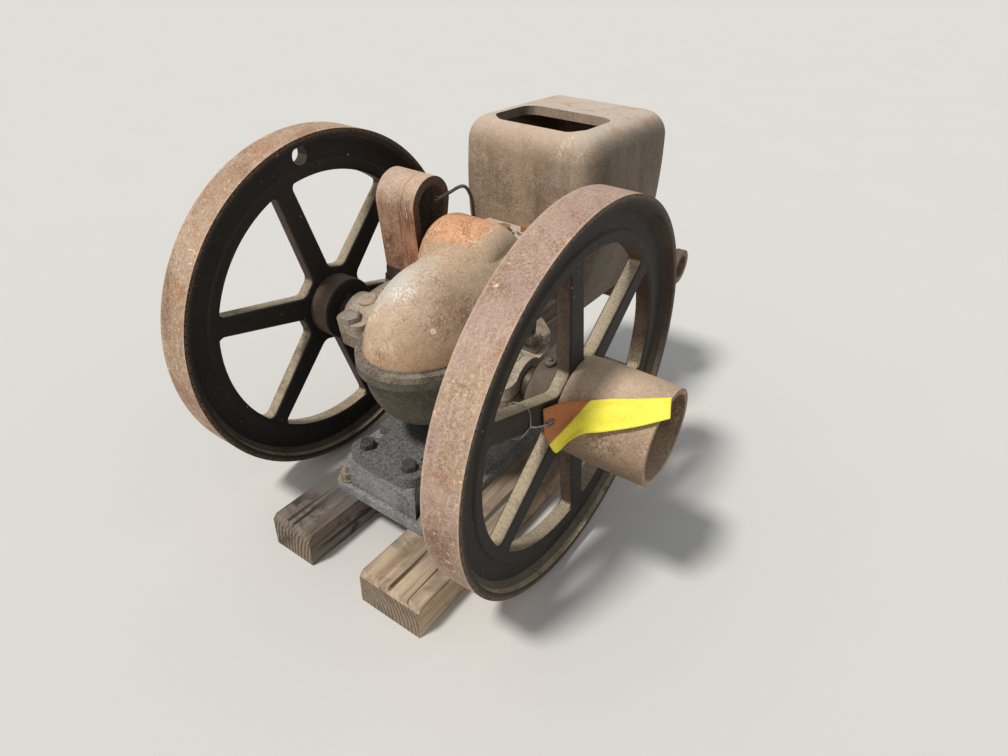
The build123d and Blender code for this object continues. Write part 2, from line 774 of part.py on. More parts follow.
def magneto_body():
    """Pole pieces and armature tunnel between the magnet feet, on a flat bed."""
    x0 = magnet_front_x - magnet_narrow - magnet_seam - magnet_wide
    x1 = magnet_front_x
    inner = magnet_foot_half_width - magnet_bar - 0.3
    low = magneto_floor + 8
    poles = block(x0, x1, magnet_centre_y - inner, magnet_centre_y + inner, low, pole_height)
    shoes = block(x0, x1, magnet_centre_y - 24, magnet_centre_y + 24, low, magnet_foot_height)
    bed = block(x0 - 2, x1 + 2, magnet_centre_y - 25, magnet_centre_y + 25, magneto_floor, low)
    return poles + shoes + bed


def magneto_ends():
    """Round bearing plates at both ends of the magneto."""
    x0 = magnet_front_x - magnet_narrow - magnet_seam - magnet_wide
    plates = []
    for a, b in ((x0 - 8, x0), (magnet_front_x, magnet_front_x + 5)):
        plate = Pos(0, magnet_centre_y, magneto_end_height) * ring_x(0, magneto_end_radius, a, b)
        plates.append(plate)
    return Compound(plates)


def magneto_bracket():
    """Shelf from the crankcase side that carries the magneto."""
    x0 = magnet_front_x - magnet_narrow - magnet_seam - magnet_wide - 6
    y0, y1 = magnet_centre_y - 25, magnet_centre_y + 31
    shelf = block(x0, hump_left - gasket_gap, y0, y1, magneto_floor - 11, magneto_floor)
    return fillet(shelf.edges().filter_by(Axis.Z), 6)


def base_casting():
    """Cast base: a flanged plate with a raised, tapering seat for the engine."""
    plate = rounded_slab(base_half_width, base_front, base_rear, base_corner)
    flange = Pos(0, 0, base_underside) * extrude(plate, base_plate_thickness)
    lower = Pos(0, 0, base_underside + base_plate_thickness) * rounded_slab(
        base_half_width - 8, base_front + 8, base_rear - 8, base_corner
    )
    upper = Pos(0, 0, base_top) * rounded_slab(
        base_waist_half_width, base_waist_front - 22, base_rear - 34, base_corner
    )
    seat = loft([lower, upper])
    base = flange + seat
    rear_bearer = block(-46, 46, 200, base_rear - 40, base_top, -jacket_radius + 6)
    base += rear_bearer
    base -= rod(0, 0, 2 * jacket_radius + 0.4, 100, 500)
    for side in (-1, 1):
        for y in (stud_front_y, stud_rear_y):
            pocket = Pos(side * stud_x, y, base_underside + base_plate_thickness + 30) * Cylinder(15, 60)
            base -= pocket
            base -= Pos(side * stud_x, y, base_underside) * Cylinder(stud_diameter / 2 + stud_clearance, 60)
    return base


def base_studs():
    """Studs, washers and nuts that hold the base to the skids."""
    studs = []
    seat = base_underside + base_plate_thickness
    for side in (-1, 1):
        for y in (stud_front_y, stud_rear_y):
            shank = Cylinder(stud_diameter / 2, 60)
            stud = Pos(0, 0, -30 + washer_thickness + nut_height + 10) * shank
            stud += Pos(0, 0, washer_thickness / 2) * Cylinder(washer_radius, washer_thickness)
            nut = extrude(RegularPolygon(nut_flats / 2, 6, major_radius=False), nut_height)
            stud += Pos(0, 0, washer_thickness) * nut
            studs.append(Pos(side * stud_x, y, seat) * stud)
    return Compound(studs)


def stud_socket(side, y):
    """Hole in a skid for a stud."""
    return Pos(side * stud_x, y, base_underside - 20) * Cylinder(stud_diameter / 2 + stud_clearance, 60)


def skid(x0, x1):
    """Timber skid with a worn, bevelled front end."""
    top = base_underside
    timber = block(x0, x1, skid_front, skid_rear, top - skid_height, top)
    front_top = timber.edges().filter_by(Axis.X).sort_by(Axis.Y)[:2].sort_by(Axis.Z)[-1]
    timber = chamfer(front_top, skid_end_bevel * 0.5)
    for side in (-1, 1):
        for y in (stud_front_y, stud_rear_y):
            timber -= stud_socket(side, y)
    return timber


def place():
    """Move from the crankshaft centre to the middle of the footprint, on the ground."""
    left = -(wheel_centre + hub_outboard + shaft_left_overhang + key_head_length)
    rear = hopper_rear + head_gap + head_thickness + rocker_stand_off + rocker_depth
    middle_x = (left + pulley_outer_end) / 2
    middle_y = (rear - wheel_radius) / 2
    return Pos(-middle_x, -middle_y, crank_height)


def write(name, shape):
    """Set a piece in its place on the skids and write it."""
    export_step(place() * shape, os.path.join("parts", name + ".step"))


def main():
    os.makedirs("parts", exist_ok=True)
    left_wheel = flywheel(-1, spoke_phase_left) - balance_hole() - key_slot()
    write("flywheel_left", left_wheel)
    write("flywheel_right", flywheel(1, spoke_phase_right))
    write("crankshaft", crankshaft())
    write("flywheel_key", flywheel_key())
    write("belt_pulley", belt_pulley())
    write("pulley_bolts", pulley_bolts())
    write("crankcase", crankcase())
    write("crankcase_cover", crankcase_cover())
    write("bearing_cap_left", bearing_cap(-1))
    write("bearing_cap_right", bearing_cap(1))
    write("bearing_bolts_left", bearing_bolts(-1))
    write("bearing_bolts_right", bearing_bolts(1))
    write("bearing_lock_plate", lock_plate())
    write("foot_bolts", foot_bolts())
    write("gear_case", gear_case())
    write("water_hopper", water_hopper())
    write("ledge_bolts", ledge_bolts())
    write("cylinder_liner", cylinder_liner())
    write("cylinder_head", cylinder_head())
    write("head_bolts", head_bolts())
    write("exhaust_stub", exhaust_stub())
    write("fuel_mixer", fuel_mixer())
    write("rocker_arm", rocker_arm())
    write("pushrod", pushrod())
    write("pushrod_guide", pushrod_guide())
    write("governor_rod", governor_rod())
    write("detent_rod", detent_rod())
    write("rod_guide", rod_guide())
    write("rod_foot", rod_foot())
    wide_front = magnet_front_x - magnet_narrow - magnet_seam
    write("magnet_inner", magnet(magnet_front_x - magnet_narrow, magnet_front_x))
    write("magnet_outer", magnet(wide_front - magnet_wide, wide_front))
    write("magneto_body", magneto_body())
    write("magneto_ends", magneto_ends())
    write("magneto_bracket", magneto_bracket())
    write("base_casting", base_casting())
    write("base_studs", base_studs())
    write("skid_left", skid(skid_left_outer, skid_left_inner))
    write("skid_right", skid(skid_right_inner, skid_right_outer))


main()
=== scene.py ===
"""Looks for a small stationary farm engine: rusted castings, worn bolts, oily base and weathered skids."""
import json
import math

import bmesh
import bpy
from mathutils import Matrix, Vector


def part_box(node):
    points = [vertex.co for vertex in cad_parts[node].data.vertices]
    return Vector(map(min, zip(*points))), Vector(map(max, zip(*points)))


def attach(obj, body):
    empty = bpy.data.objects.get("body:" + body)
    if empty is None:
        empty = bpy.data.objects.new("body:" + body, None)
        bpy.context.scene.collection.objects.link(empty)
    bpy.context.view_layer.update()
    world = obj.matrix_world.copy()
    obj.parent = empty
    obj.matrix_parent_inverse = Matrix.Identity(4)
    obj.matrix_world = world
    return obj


bl_info = {
    "name": "Farm engine looks",
    "version": (1, 0, 0),
    "blender": (4, 5, 0),
    "location": "View3D > Sidebar > Engine",
    "description": "Finishes, small fittings, light and camera for a farm engine on skids",
    "category": "Object",
}

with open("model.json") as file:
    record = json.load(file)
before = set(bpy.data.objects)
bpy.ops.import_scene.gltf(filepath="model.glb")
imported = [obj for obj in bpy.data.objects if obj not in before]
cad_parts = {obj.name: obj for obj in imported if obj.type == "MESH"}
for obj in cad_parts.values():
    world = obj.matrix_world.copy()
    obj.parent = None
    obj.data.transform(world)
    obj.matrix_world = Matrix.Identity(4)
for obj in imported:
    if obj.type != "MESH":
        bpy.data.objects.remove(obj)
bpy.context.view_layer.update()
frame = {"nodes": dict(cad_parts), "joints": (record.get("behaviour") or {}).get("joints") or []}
nodes = frame["nodes"]
crank = Vector(frame["joints"][0]["pos_m"])

# Where finishes change on the solids, in metres from the crankshaft's centre or axis. A pair is the start
# and end of a soft step. TREAD_EDGE is from the middle of a rim's width.
WHEEL_MIDDLE = 0.1895
TREAD_EDGE = (0.0185, 0.0208)
TREAD = (0.2268, 0.2278)
RIM_LIP = (0.2215, 0.2265)
# SHADED_HUB: reach from the axis within which the spoke sides get painted shade
SHADED_HUB = (0.044, 0.052)
MAGNET_MIDDLE, MAGNET_FOOT, MAGNET_ARCH = 0.08, 0.05, 0.141

# Hang tag: the points of its two long edges, from the eyelet's end, and how far it stays from the shaft's
# axis at its edges and between them. All in millimetres from the crankshaft's centre.
TAG_UPPER = ((201, -81.6, 38.6), (214, -61, 42), (233, -46, 43.4), (252, -38, 49), (270, -31, 53),
             (288, -24, 57.5), (304, -17, 61.5))
TAG_LOWER = ((202, -75.4, 2.8), (207, -57, -30), (223, -62, -3.4), (238, -61, 13), (256, -58, 22),
             (286, -49, 37), (312, -34, 50))
TAG_CLEAR, TAG_BOW = 57.6, 2.5

# Broken lead and the stiff wire at the magneto, as the points of their smooth lines in millimetres
LEAD = ((-31, 113.5, 118), (-30.5, 112, 134), (-28, 104, 154), (-29, 94, 170), (-35, 88, 170),
        (-48, 86, 160), (-62, 84, 151))
MAGNETO_WIRE = ((-69.5, 76, 30), (-69.6, 75, 62), (-69.8, 74, 84), (-70.2, 70, 89), (-70.2, 67, 86))

# Camera of the photograph: its place in millimetres from the crankshaft's centre, and how far it stands
# round to the right, looks down and leans, in degrees
CAMERA_PLACE = (453.71, -539.65, 418.72)
CAMERA_AZIMUTH, CAMERA_ELEVATION, CAMERA_ROLL = 33.23, 33.50, 2.61


def at(x, y, z):
    """Point given in millimetres from the crankshaft's centre."""
    return crank + Vector((x, y, z)) / 1000


def around(degrees):
    """Direction square to the shaft, at an angle from +Y towards +Z."""
    angle = math.radians(degrees)
    return Vector((0, math.cos(angle), math.sin(angle)))


def tint(red, green, blue):
    """Colour written in 0 to 255, as the linear colour that shaders use."""
    def linear(level):
        """One of the colour's three levels."""
        level /= 255
        return level / 12.92 if level <= 0.04045 else ((level + 0.055) / 1.055) ** 2.4
    return (linear(red), linear(green), linear(blue), 1.0)


# Shader arithmetic

class Wire:
    """A socket of a material that can be used in sums."""

    def __init__(self, graph, socket):
        self.graph = graph
        self.socket = socket

    def math(self, operation, first, second=None):
        """Add a Math node with one or two values."""
        values = {0: first}
        if second is not None:
            values[1] = second
        return self.graph.node("ShaderNodeMath", {"operation": operation}, values)

    def __add__(self, other):
        return self.math("ADD", self, other)

    __radd__ = __add__

    def __sub__(self, other):
        return self.math("SUBTRACT", self, other)

    def __rsub__(self, other):
        return self.math("SUBTRACT", other, self)

    def __mul__(self, other):
        return self.math("MULTIPLY", self, other)

    __rmul__ = __mul__

    def __pow__(self, other):
        return self.math("POWER", self, other)

    def __abs__(self):
        return self.math("ABSOLUTE", self)

    def above(self, low, high):
        """0 under low, 1 over high and a smooth step between them."""
        values = {"Value": self, "From Min": low, "From Max": high}
        return self.graph.node("ShaderNodeMapRange", {"interpolation_type": "SMOOTHSTEP"}, values)

    def below(self, low, high):
        """1 under low, 0 over high and a smooth step between them."""
        return 1 - self.above(low, high)

    def larger(self, other):
        """The larger of two values."""
        return self.math("MAXIMUM", self, other)


class Graph:
    """Node tree of a new material or world."""

    def __init__(self, owner):
        self.owner = owner
        owner.use_nodes = True
        self.tree = owner.node_tree
        self.tree.nodes.clear()

    def node(self, kind, settings, values, output=0):
        """Add a node: its settings first, then values or links for its sockets."""
        made = self.tree.nodes.new(kind)
        for key, value in settings.items():
            setattr(made, key, value)
        for key, value in values.items():
            if isinstance(value, Wire):
                self.tree.links.new(value.socket, made.inputs[key])
            else:
                made.inputs[key].default_value = value
        return Wire(self, made.outputs[output]) if len(made.outputs) else None


class Surface(Graph):
    """Node tree of one finish, with the patterns that finishes are made of."""

    def __init__(self, name):
        super().__init__(bpy.data.materials.new(name))
        self.spot = self.node("ShaderNodeTexCoord", {}, {}, "Object")
        self.facing = self.node("ShaderNodeTexCoord", {}, {}, "Normal")

    def split(self, vector):
        """The three numbers of a vector."""
        made = self.node("ShaderNodeSeparateXYZ", {}, {0: vector})
        return [Wire(self, socket) for socket in made.socket.node.outputs]

    def join(self, x, y, z):
        """A vector of three numbers."""
        return self.node("ShaderNodeCombineXYZ", {}, {0: x, 1: y, 2: z})

    def from_crank(self):
        """The place on the piece along X, Y and Z, in metres from the crankshaft's centre."""
        values = {0: self.spot, 1: tuple(crank)}
        return self.split(self.node("ShaderNodeVectorMath", {"operation": "SUBTRACT"}, values))

    def noise(self, scale, detail=4.0, rough=0.55, spot=None, wobble=0.0):
        """Clouds from 0 to 1; a larger scale gives finer ones."""
        values = {"Vector": self.spot if spot is None else spot, "Scale": scale, "Detail": detail,
                  "Roughness": rough, "Distortion": wobble}
        return self.node("ShaderNodeTexNoise", {}, values)

    def cells(self, scale, feature="F1"):
        """Distance to the middle or the edge of irregular cells."""
        return self.node("ShaderNodeTexVoronoi", {"feature": feature}, {"Vector": self.spot, "Scale": scale})

    def stretch(self, x, y, z):
        """Place on the piece for a pattern that is drawn out where a factor is small."""
        return self.node("ShaderNodeVectorMath", {"operation": "MULTIPLY"}, {0: self.spot, 1: (x, y, z)})

    def mix(self, first, second, amount):
        """Colour that goes from the first to the second as amount goes from 0 to 1."""
        settings = {"data_type": "RGBA", "clamp_factor": True}
        return self.node("ShaderNodeMix", settings, {0: amount, 6: first, 7: second}, 2)

    def near(self, point, radius, soft=0.5, uneven=0.35):
        """1 close to a point and 0 beyond radius, with an uneven border."""
        values = {0: self.spot, 1: point}
        away = self.node("ShaderNodeVectorMath", {"operation": "DISTANCE"}, values, "Value")
        ragged = away + (self.noise(60.0, 4) - 0.5) * (2 * uneven * radius)
        return ragged.below(radius * (1 - soft), radius)

    def corners(self, distance):
        """Painted shade: 1 deep in corners and joints, from ambient occlusion."""
        open_sky = self.node("ShaderNodeAmbientOcclusion", {"samples": 8}, {"Distance": distance}, "AO")
        return 1 - open_sky

    def finish(self, colour, roughness, height, depth, metallic=0.0, coat=0.0):
        """Close the tree with one principled shader and a bump of depth metres."""
        bump = self.node("ShaderNodeBump", {}, {"Height": height, "Distance": depth, "Strength": 1.0})
        values = {"Base Color": colour, "Roughness": roughness, "Metallic": metallic, "Normal": bump}
        if coat:
            values["Coat Weight"] = coat
        shader = self.node("ShaderNodeBsdfPrincipled", {}, values)
        self.node("ShaderNodeOutputMaterial", {}, {"Surface": shader})
        return self.owner


# Finishes

def rusted(name, dark, middle, light, stain, patch=14.0, stained=0.2, flecks=0.5, extra=None):
    """Old cast iron: finely mottled rust, pale dust, stains, small flecks and a pitted skin."""
    g = Surface(name)
    broad = g.noise(patch, 6, 0.65, wobble=0.4)
    dusty = g.noise(patch * 2.3, 5, 0.6)
    medium = g.noise(90.0, 5, 0.65)
    fine = g.noise(330.0, 6, 0.72)
    grit = g.noise(900.0, 3, 0.6)
    colour = g.mix(dark, middle, (broad * 0.45 + medium * 0.12 + fine * 0.43).above(0.38, 0.54))
    colour = g.mix(colour, light, (dusty * 0.4 + fine * 0.5 + medium * 0.1).above(0.5, 0.62) * 0.7)
    least = 0.66 - 0.3 * stained
    rust = g.noise(patch * 1.6, 6, 0.7, wobble=0.8).above(least, least + 0.18)
    colour = g.mix(colour, stain, rust * (0.2 + fine * 0.5))
    if extra is not None:
        colour = extra(g, colour, fine)
    colour = g.mix(colour, light, grit.above(0.55, 0.66) * 0.42)
    colour = g.mix(colour, tint(56, 43, 33), grit.below(0.34, 0.45) * 0.42)
    chips = g.noise(230.0, 4, 0.7).above(0.69, 0.75) * g.noise(28.0, 3).above(0.42, 0.6) * flecks
    colour = g.mix(colour, tint(232, 222, 204), chips)
    # Painted shade in corners and joints
    colour = g.mix(colour, tint(30, 24, 20), g.corners(0.012).above(0.35, 0.85) * 0.7)
    pits = g.cells(300.0).below(0.1, 0.32) * g.noise(40.0).above(0.48, 0.62)
    height = fine * 0.5 + medium * 0.3 + broad * 0.4 + grit * 0.16 - pits * 0.14 - chips * 0.08
    return g.finish(colour, 0.8 + (fine - 0.5) * 0.3, height, 0.0006, metallic=0.04)


def wheel_iron(name, mauve, cool, shaded_face_dark, shaded_face_pale):
    """Flywheel: tan rusted tread, faces darkened with painted shade, worn lips, and paler spoke sides with
    painted shade round the hub and where they do not face up.
    """
    g = Surface(name)
    x, y, z = g.from_crank()
    reach = (y * y + z * z) ** 0.5
    turn = g.node("ShaderNodeMath", {"operation": "ARCTAN2"}, {0: z, 1: y})
    nx, _, nz = g.split(g.facing)
    streak = g.noise(60.0, 6, 0.7, spot=g.join(x * 4.0, turn * 0.23, reach))
    wide = g.noise(7.0, 6, 0.68, wobble=0.6)
    broad = g.noise(14.0, 6, 0.65, wobble=0.5)
    medium = g.noise(80.0, 5, 0.65)
    fine = g.noise(330.0, 6, 0.72)
    grit = g.noise(900.0, 3, 0.6)

    # Tread: rust in wide patches, a cooler bloom, pale drawn-out wear and small chips
    mottle = (wide * 0.45 + fine * 0.4 + streak * 0.15).above(0.39, 0.53)
    tread = g.mix(tint(120, 88, 66), tint(184, 154, 126), mottle)
    tread = g.mix(tread, mauve, broad.above(0.48, 0.66) * (0.3 + fine * 0.5))
    wear = (streak * 0.4 + fine * 0.6).above(0.5, 0.6) * wide.above(0.38, 0.58)
    tread = g.mix(tread, tint(218, 198, 180), wear * 0.85)
    tread = g.mix(tread, tint(164, 102, 62), g.noise(20.0, 6, 0.75, wobble=1.2).above(0.53, 0.64) * 0.6)
    spall = g.noise(48.0, 4, 0.6, wobble=0.5)
    tread = g.mix(tread, tint(200, 142, 96), spall.above(0.635, 0.65) * 0.75)
    tread = g.mix(tread, tint(246, 222, 186), spall.above(0.665, 0.68) * 0.9)
    tread = g.mix(tread, tint(236, 224, 204), g.noise(150.0, 3, 0.6).above(0.69, 0.73) * 0.8)
    speck = g.noise(560.0, 4, 0.65).above(0.52, 0.64) * 0.4
    tread = g.mix(tread, mauve, speck.larger(z.above(-0.03, 0.08) * cool * broad.above(0.4, 0.6)))
    tread = g.mix(tread, tint(228, 212, 196), grit.above(0.56, 0.67) * 0.4)
    tread = g.mix(tread, tint(84, 60, 44), grit.below(0.34, 0.45) * 0.35)
    from_middle = abs(x - x.above(-0.001, 0.001) * (2 * WHEEL_MIDDLE) + WHEEL_MIDDLE)
    edge = from_middle.above(*TREAD_EDGE)
    tread = g.mix(tread, tint(206, 184, 160), edge * (0.25 + fine * 0.4))

    # Faces of web, rim and spokes: dark with painted shade, with a worn lip round the rim
    face = g.mix(shaded_face_dark, shaded_face_pale, (broad * 0.4 + fine * 0.6).above(0.4, 0.62))
    face = g.mix(face, tint(80, 58, 42), g.noise(26.0, 5, 0.7, wobble=0.6).above(0.6, 0.74) * 0.35)
    face = g.mix(face, tint(134, 106, 82), reach.above(*RIM_LIP) * fine.above(0.38, 0.6) * 0.7)
    face = g.mix(face, tint(176, 164, 146), g.noise(170.0, 3, 0.6).above(0.7, 0.74) * 0.6)

    # Sides of the spokes: pale where dust lies, with painted shade round the hub and on sides that do not
    # face up
    side = g.mix(tint(122, 104, 84), tint(176, 162, 136), (broad * 0.35 + fine * 0.65).above(0.34, 0.58))
    side = g.mix(side, tint(88, 66, 50), g.noise(18.0, 6, 0.7, wobble=0.5).above(0.52, 0.66) * 0.6)
    # Painted shade round the hub
    side = g.mix(side, tint(70, 55, 44), reach.below(*SHADED_HUB) * 0.75)
    # Painted shade on spoke sides that face down or sideways
    painted_side_shade = g.mix(tint(58, 42, 32), tint(96, 76, 60), (broad * 0.4 + fine * 0.6).above(0.38, 0.6))
    side = g.mix(painted_side_shade, side, nz.above(-0.05, 0.4))

    # Faces that look along the shaft take the painted shade colours; the spoke sides keep theirs
    colour = g.mix(side, face, abs(nx).above(0.3, 0.78))
    colour = g.mix(colour, tread, reach.above(*TREAD) * abs(nx).below(0.5, 0.9))
    colour = g.mix(colour, tint(44, 33, 26), grit.below(0.32, 0.42) * 0.4)
    # Painted shade in corners and joints, near black
    colour = g.mix(colour, tint(18, 14, 12), g.corners(0.02).above(0.35, 0.9) * 0.75)
    nick = g.noise(110.0, 5, 0.75).above(0.68, 0.74)
    pit = spall.above(0.68, 0.7)
    height = fine * 0.5 + medium * 0.3 + broad * 0.35 + grit * 0.14 - nick * 0.2 - pit * 0.2
    return g.finish(colour, 0.72 + (fine - 0.5) * 0.35, height, 0.0007, metallic=0.06)


def dome_extra(g, colour, fine):
    """Grey worn crown with a painted highlight, orange housing behind it and the dull flange of the crankcase
    cover.
    """
    x, y, z = g.from_crank()
    low = z.below(0.035, 0.085)
    colour = g.mix(colour, tint(182, 138, 98), low * g.noise(20.0, 5, 0.7).above(0.42, 0.6) * 0.6)
    # Grey worn patch on the crown, partly a painted highlight
    colour = g.mix(colour, tint(226, 214, 200), g.near(at(-30, -45, 105), 0.075, 0.8) * (0.2 + fine * 0.8))
    colour = g.mix(colour, tint(204, 204, 198), g.near(at(-30, -52, 108), 0.045, 0.8, 0.6) * 0.7)
    colour = g.mix(colour, tint(196, 176, 146), x.above(0.01, 0.05) * z.above(0.065, 0.1) * 0.45)
    speckle = g.noise(330.0, 4, 0.7).above(0.5, 0.6)
    colour = g.mix(colour, tint(244, 238, 226), g.near(at(-2, -58, 98), 0.02, 0.7, 0.9) * speckle)
    colour = g.mix(colour, tint(244, 238, 226), g.near(at(-32, -82, 68), 0.02, 0.7, 0.9) * speckle)
    colour = g.mix(colour, tint(248, 222, 184), g.near(at(44, -60, 62), 0.0045, 0.4, 0.5) * 0.9)
    colour = g.mix(colour, tint(248, 222, 184), g.near(at(30, -86, 34), 0.004, 0.4, 0.5) * 0.8)
    wave = (g.noise(34.0, 4, 0.6) - 0.5) * 0.03
    hump = (y + wave).above(0.033, 0.046) * (z + wave).above(0.055, 0.09) * (x + wave).below(0.006, 0.03)
    mottle = fine * 0.5 + g.noise(22.0, 6, 0.7, wobble=0.6) * 0.5
    rusty = g.mix(tint(170, 108, 70), tint(226, 166, 120), mottle.above(0.4, 0.54))
    pale = (fine * 0.6 + g.noise(40.0, 4) * 0.4).above(0.51, 0.61)
    rusty = g.mix(rusty, tint(236, 198, 162), pale * 0.75)
    colour = g.mix(colour, rusty, hump * 0.92)
    flange = z.below(0.0195, 0.024)
    grain = (fine * 0.6 + g.noise(30.0, 5) * 0.4).above(0.4, 0.58)
    return g.mix(colour, g.mix(tint(84, 76, 67), tint(142, 131, 118), grain), flange * 0.95)


def bowl_extra(g, colour, fine):
    """Dusty bearing arms and the charcoal foot of the crankcase."""
    x, _, z = g.from_crank()
    arms = abs(x).above(0.076, 0.086)
    dusty = g.mix(tint(116, 100, 82), tint(172, 156, 134), fine.above(0.38, 0.6))
    colour = g.mix(colour, dusty, arms * 0.85)
    foot = z.below(-0.106, -0.094)
    sooty = g.mix(tint(72, 72, 72), tint(122, 122, 121), fine.above(0.4, 0.6))
    return g.mix(colour, sooty, foot * 0.9)


def hopper_extra(g, colour, fine):
    """Painted light on the top, vertical dribbles down the sides and painted shade on the flank that faces
    +X.
    """
    z = g.from_crank()[2]
    nx, ny, nz = g.split(g.facing)
    runs = g.noise(34.0, 4, 0.6, spot=g.stretch(1, 1, 0.07))
    colour = g.mix(colour, tint(118, 98, 77), runs.above(0.5, 0.68) * nz.below(0.2, 0.6) * 0.45)
    colour = g.mix(colour, tint(208, 178, 134), runs.below(0.3, 0.42) * nz.below(0.2, 0.6) * 0.35)
    scratches = g.noise(110.0, 5, 0.7, spot=g.stretch(0.15, 1, 1)).above(0.58, 0.68)
    colour = g.mix(colour, tint(206, 184, 146), scratches * nz.below(0.2, 0.6) * 0.3)
    # Painted light: upward faces made paler
    colour = g.mix(colour, tint(212, 198, 182), nz.above(0.3, 0.92) * (0.45 + fine * 0.55))
    worn = g.noise(22.0, 6, 0.72, wobble=1.2).above(0.52, 0.64)
    colour = g.mix(colour, tint(190, 140, 104), nz.above(0.35, 0.8) * worn * 0.65)
    dry = z.above(0.14, 0.21) * ny.below(-0.6, 0.0)
    colour = g.mix(colour, tint(198, 172, 148), dry * (0.25 + fine * 0.5))
    chalk = g.noise(260.0, 4, 0.7).above(0.5, 0.6)
    colour = g.mix(colour, tint(236, 228, 214), g.near(at(62, 186, 208), 0.024, 0.8, 0.8) * chalk * 0.8)
    # Painted shade on the flank that faces +X
    colour = g.mix(colour, tint(60, 56, 48), nx.above(0.3, 0.95) * 0.7)
    low = z.below(0.1, 0.125) * ny.below(-0.6, -0.1)
    return g.mix(colour, tint(170, 154, 130), low * fine.above(0.44, 0.6) * 0.6)


def pulley_extra(g, colour, fine):
    """Painted light on the crown and painted shade on the underside of the pulley."""
    nz = g.split(g.facing)[2]
    # Painted light on upward faces
    colour = g.mix(colour, tint(214, 188, 162), nz.above(0.25, 0.9) * (0.25 + fine * 0.6))
    # Painted shade on downward faces
    return g.mix(colour, tint(88, 64, 48), nz.below(-0.5, 0.3) * (0.3 + fine * 0.5))


def magnet_extra(g, colour, fine):
    """Paler crown, drawn-out streaks down the legs, and painted shade on the end faces and inside the arch of
    a magnet.
    """
    _, y, z = g.from_crank()
    nx = g.split(g.facing)[0]
    # Mask of the arch's inside, for painted shade
    gap_half = z.above(MAGNET_FOOT, MAGNET_ARCH) * 0.012 + 0.0175
    over = (z - MAGNET_ARCH).larger(0.0)
    across = abs(y - MAGNET_MIDDLE)
    inside = (gap_half - (across * across + over * over) ** 0.5).above(-0.0005, 0.0015)
    streaks = g.noise(120.0, 4, 0.6, spot=g.stretch(1, 1, 0.12))
    legs = z.below(0.13, 0.17)
    colour = g.mix(colour, tint(226, 202, 180), z.above(0.12, 0.17) * (0.2 + fine * 0.7))
    colour = g.mix(colour, tint(112, 70, 52), streaks.above(0.5, 0.62) * legs * 0.65)
    colour = g.mix(colour, tint(206, 138, 92), streaks.below(0.34, 0.44) * legs * 0.5)
    drips = g.noise(90.0, 3, 0.6, spot=g.stretch(1, 1, 0.2))
    colour = g.mix(colour, tint(226, 214, 196), drips.above(0.68, 0.72) * 0.75)
    # Painted shade on the end faces and inside the arch
    return g.mix(colour, tint(30, 22, 19), (abs(nx).above(0.6, 0.95) * 0.88).larger(inside * 0.9))


def oily(name, dark, middle, speck):
    """Base casting: charcoal paint and oil with pale grit and a rough skin."""
    g = Surface(name)
    broad = g.noise(18.0, 5, 0.65)
    fine = g.noise(260.0, 6, 0.7)
    grains = g.noise(520.0, 2, 0.5)
    colour = g.mix(dark, middle, (broad * 0.4 + fine * 0.6).above(0.38, 0.6))
    colour = g.mix(colour, speck, grains.above(0.66, 0.72) * 0.8)
    colour = g.mix(colour, tint(112, 86, 66), g.noise(36.0, 5, 0.7).above(0.64, 0.76) * 0.5)
    # Painted shade in corners and joints
    colour = g.mix(colour, tint(22, 20, 18), g.corners(0.015).above(0.3, 0.85) * 0.8)
    height = fine * 0.8 + broad * 0.5 + grains * 0.35
    return g.finish(colour, 0.5 + broad * 0.35, height, 0.0009, coat=0.05)


def worn_steel(name, base, rust, roughness=0.5, metal=0.45):
    """Bolt heads, nuts, rods and shaft: dull steel with rust in the low spots."""
    g = Surface(name)
    broad = g.noise(60.0, 5, 0.6)
    fine = g.noise(380.0, 5, 0.65)
    spots = (broad * 0.5 + fine * 0.5).above(0.47, 0.58)
    colour = g.mix(base, rust, spots)
    # Painted shade in corners and joints
    colour = g.mix(colour, tint(28, 23, 20), g.corners(0.006).above(0.3, 0.8) * 0.8)
    height = fine * 0.7 + broad * 0.5
    return g.finish(colour, roughness + spots * 0.3, height, 0.0004, metallic=(1 - spots) * metal)


def timber(name, pale, deep, grime, oiled):
    """Weathered skid: grain and cracks along Y, end grain, oil where the base stands."""
    g = Surface(name)
    y = g.from_crank()[1]
    _, ny, nz = g.split(g.facing)
    lengthwise = g.stretch(1, 0.06, 1)
    grain = g.noise(150.0, 6, 0.65, spot=lengthwise, wobble=0.3)
    wide = g.noise(34.0, 4, 0.6, spot=lengthwise, wobble=0.8)
    crack = g.noise(75.0, 3, 0.5, spot=g.stretch(1, 0.025, 1)).above(0.66, 0.69)
    rings = g.node("ShaderNodeTexWave", {"wave_type": "RINGS", "rings_direction": "Y"},
                   {"Vector": g.spot, "Scale": 55.0, "Distortion": 3.0, "Detail": 3.0, "Detail Scale": 2.0})
    colour = g.mix(deep, pale, (grain * 0.55 + wide * 0.45).above(0.36, 0.62))
    end = g.mix(tint(78, 64, 50), tint(148, 132, 112), rings)
    on_end = abs(ny).above(0.6, 0.9)
    colour = g.mix(colour, end, on_end * 0.85)
    colour = g.mix(colour, tint(28, 20, 14), crack * (1 - on_end) * 0.85)
    blot = g.noise(24.0, 5, 0.7, wobble=0.8)
    colour = g.mix(colour, grime, blot.above(0.5, 0.66) * oiled)
    under_base = y.above(-0.175, -0.125) * (0.6 + 0.4 * blot)
    colour = g.mix(colour, tint(96, 92, 88), under_base * nz.above(0.5, 0.9) * oiled)
    height = grain * 0.5 + wide * 0.4 - crack * 0.8 + rings * on_end * 0.4
    return g.finish(colour, 0.86 - under_base * 0.2 * oiled, height, 0.0012)


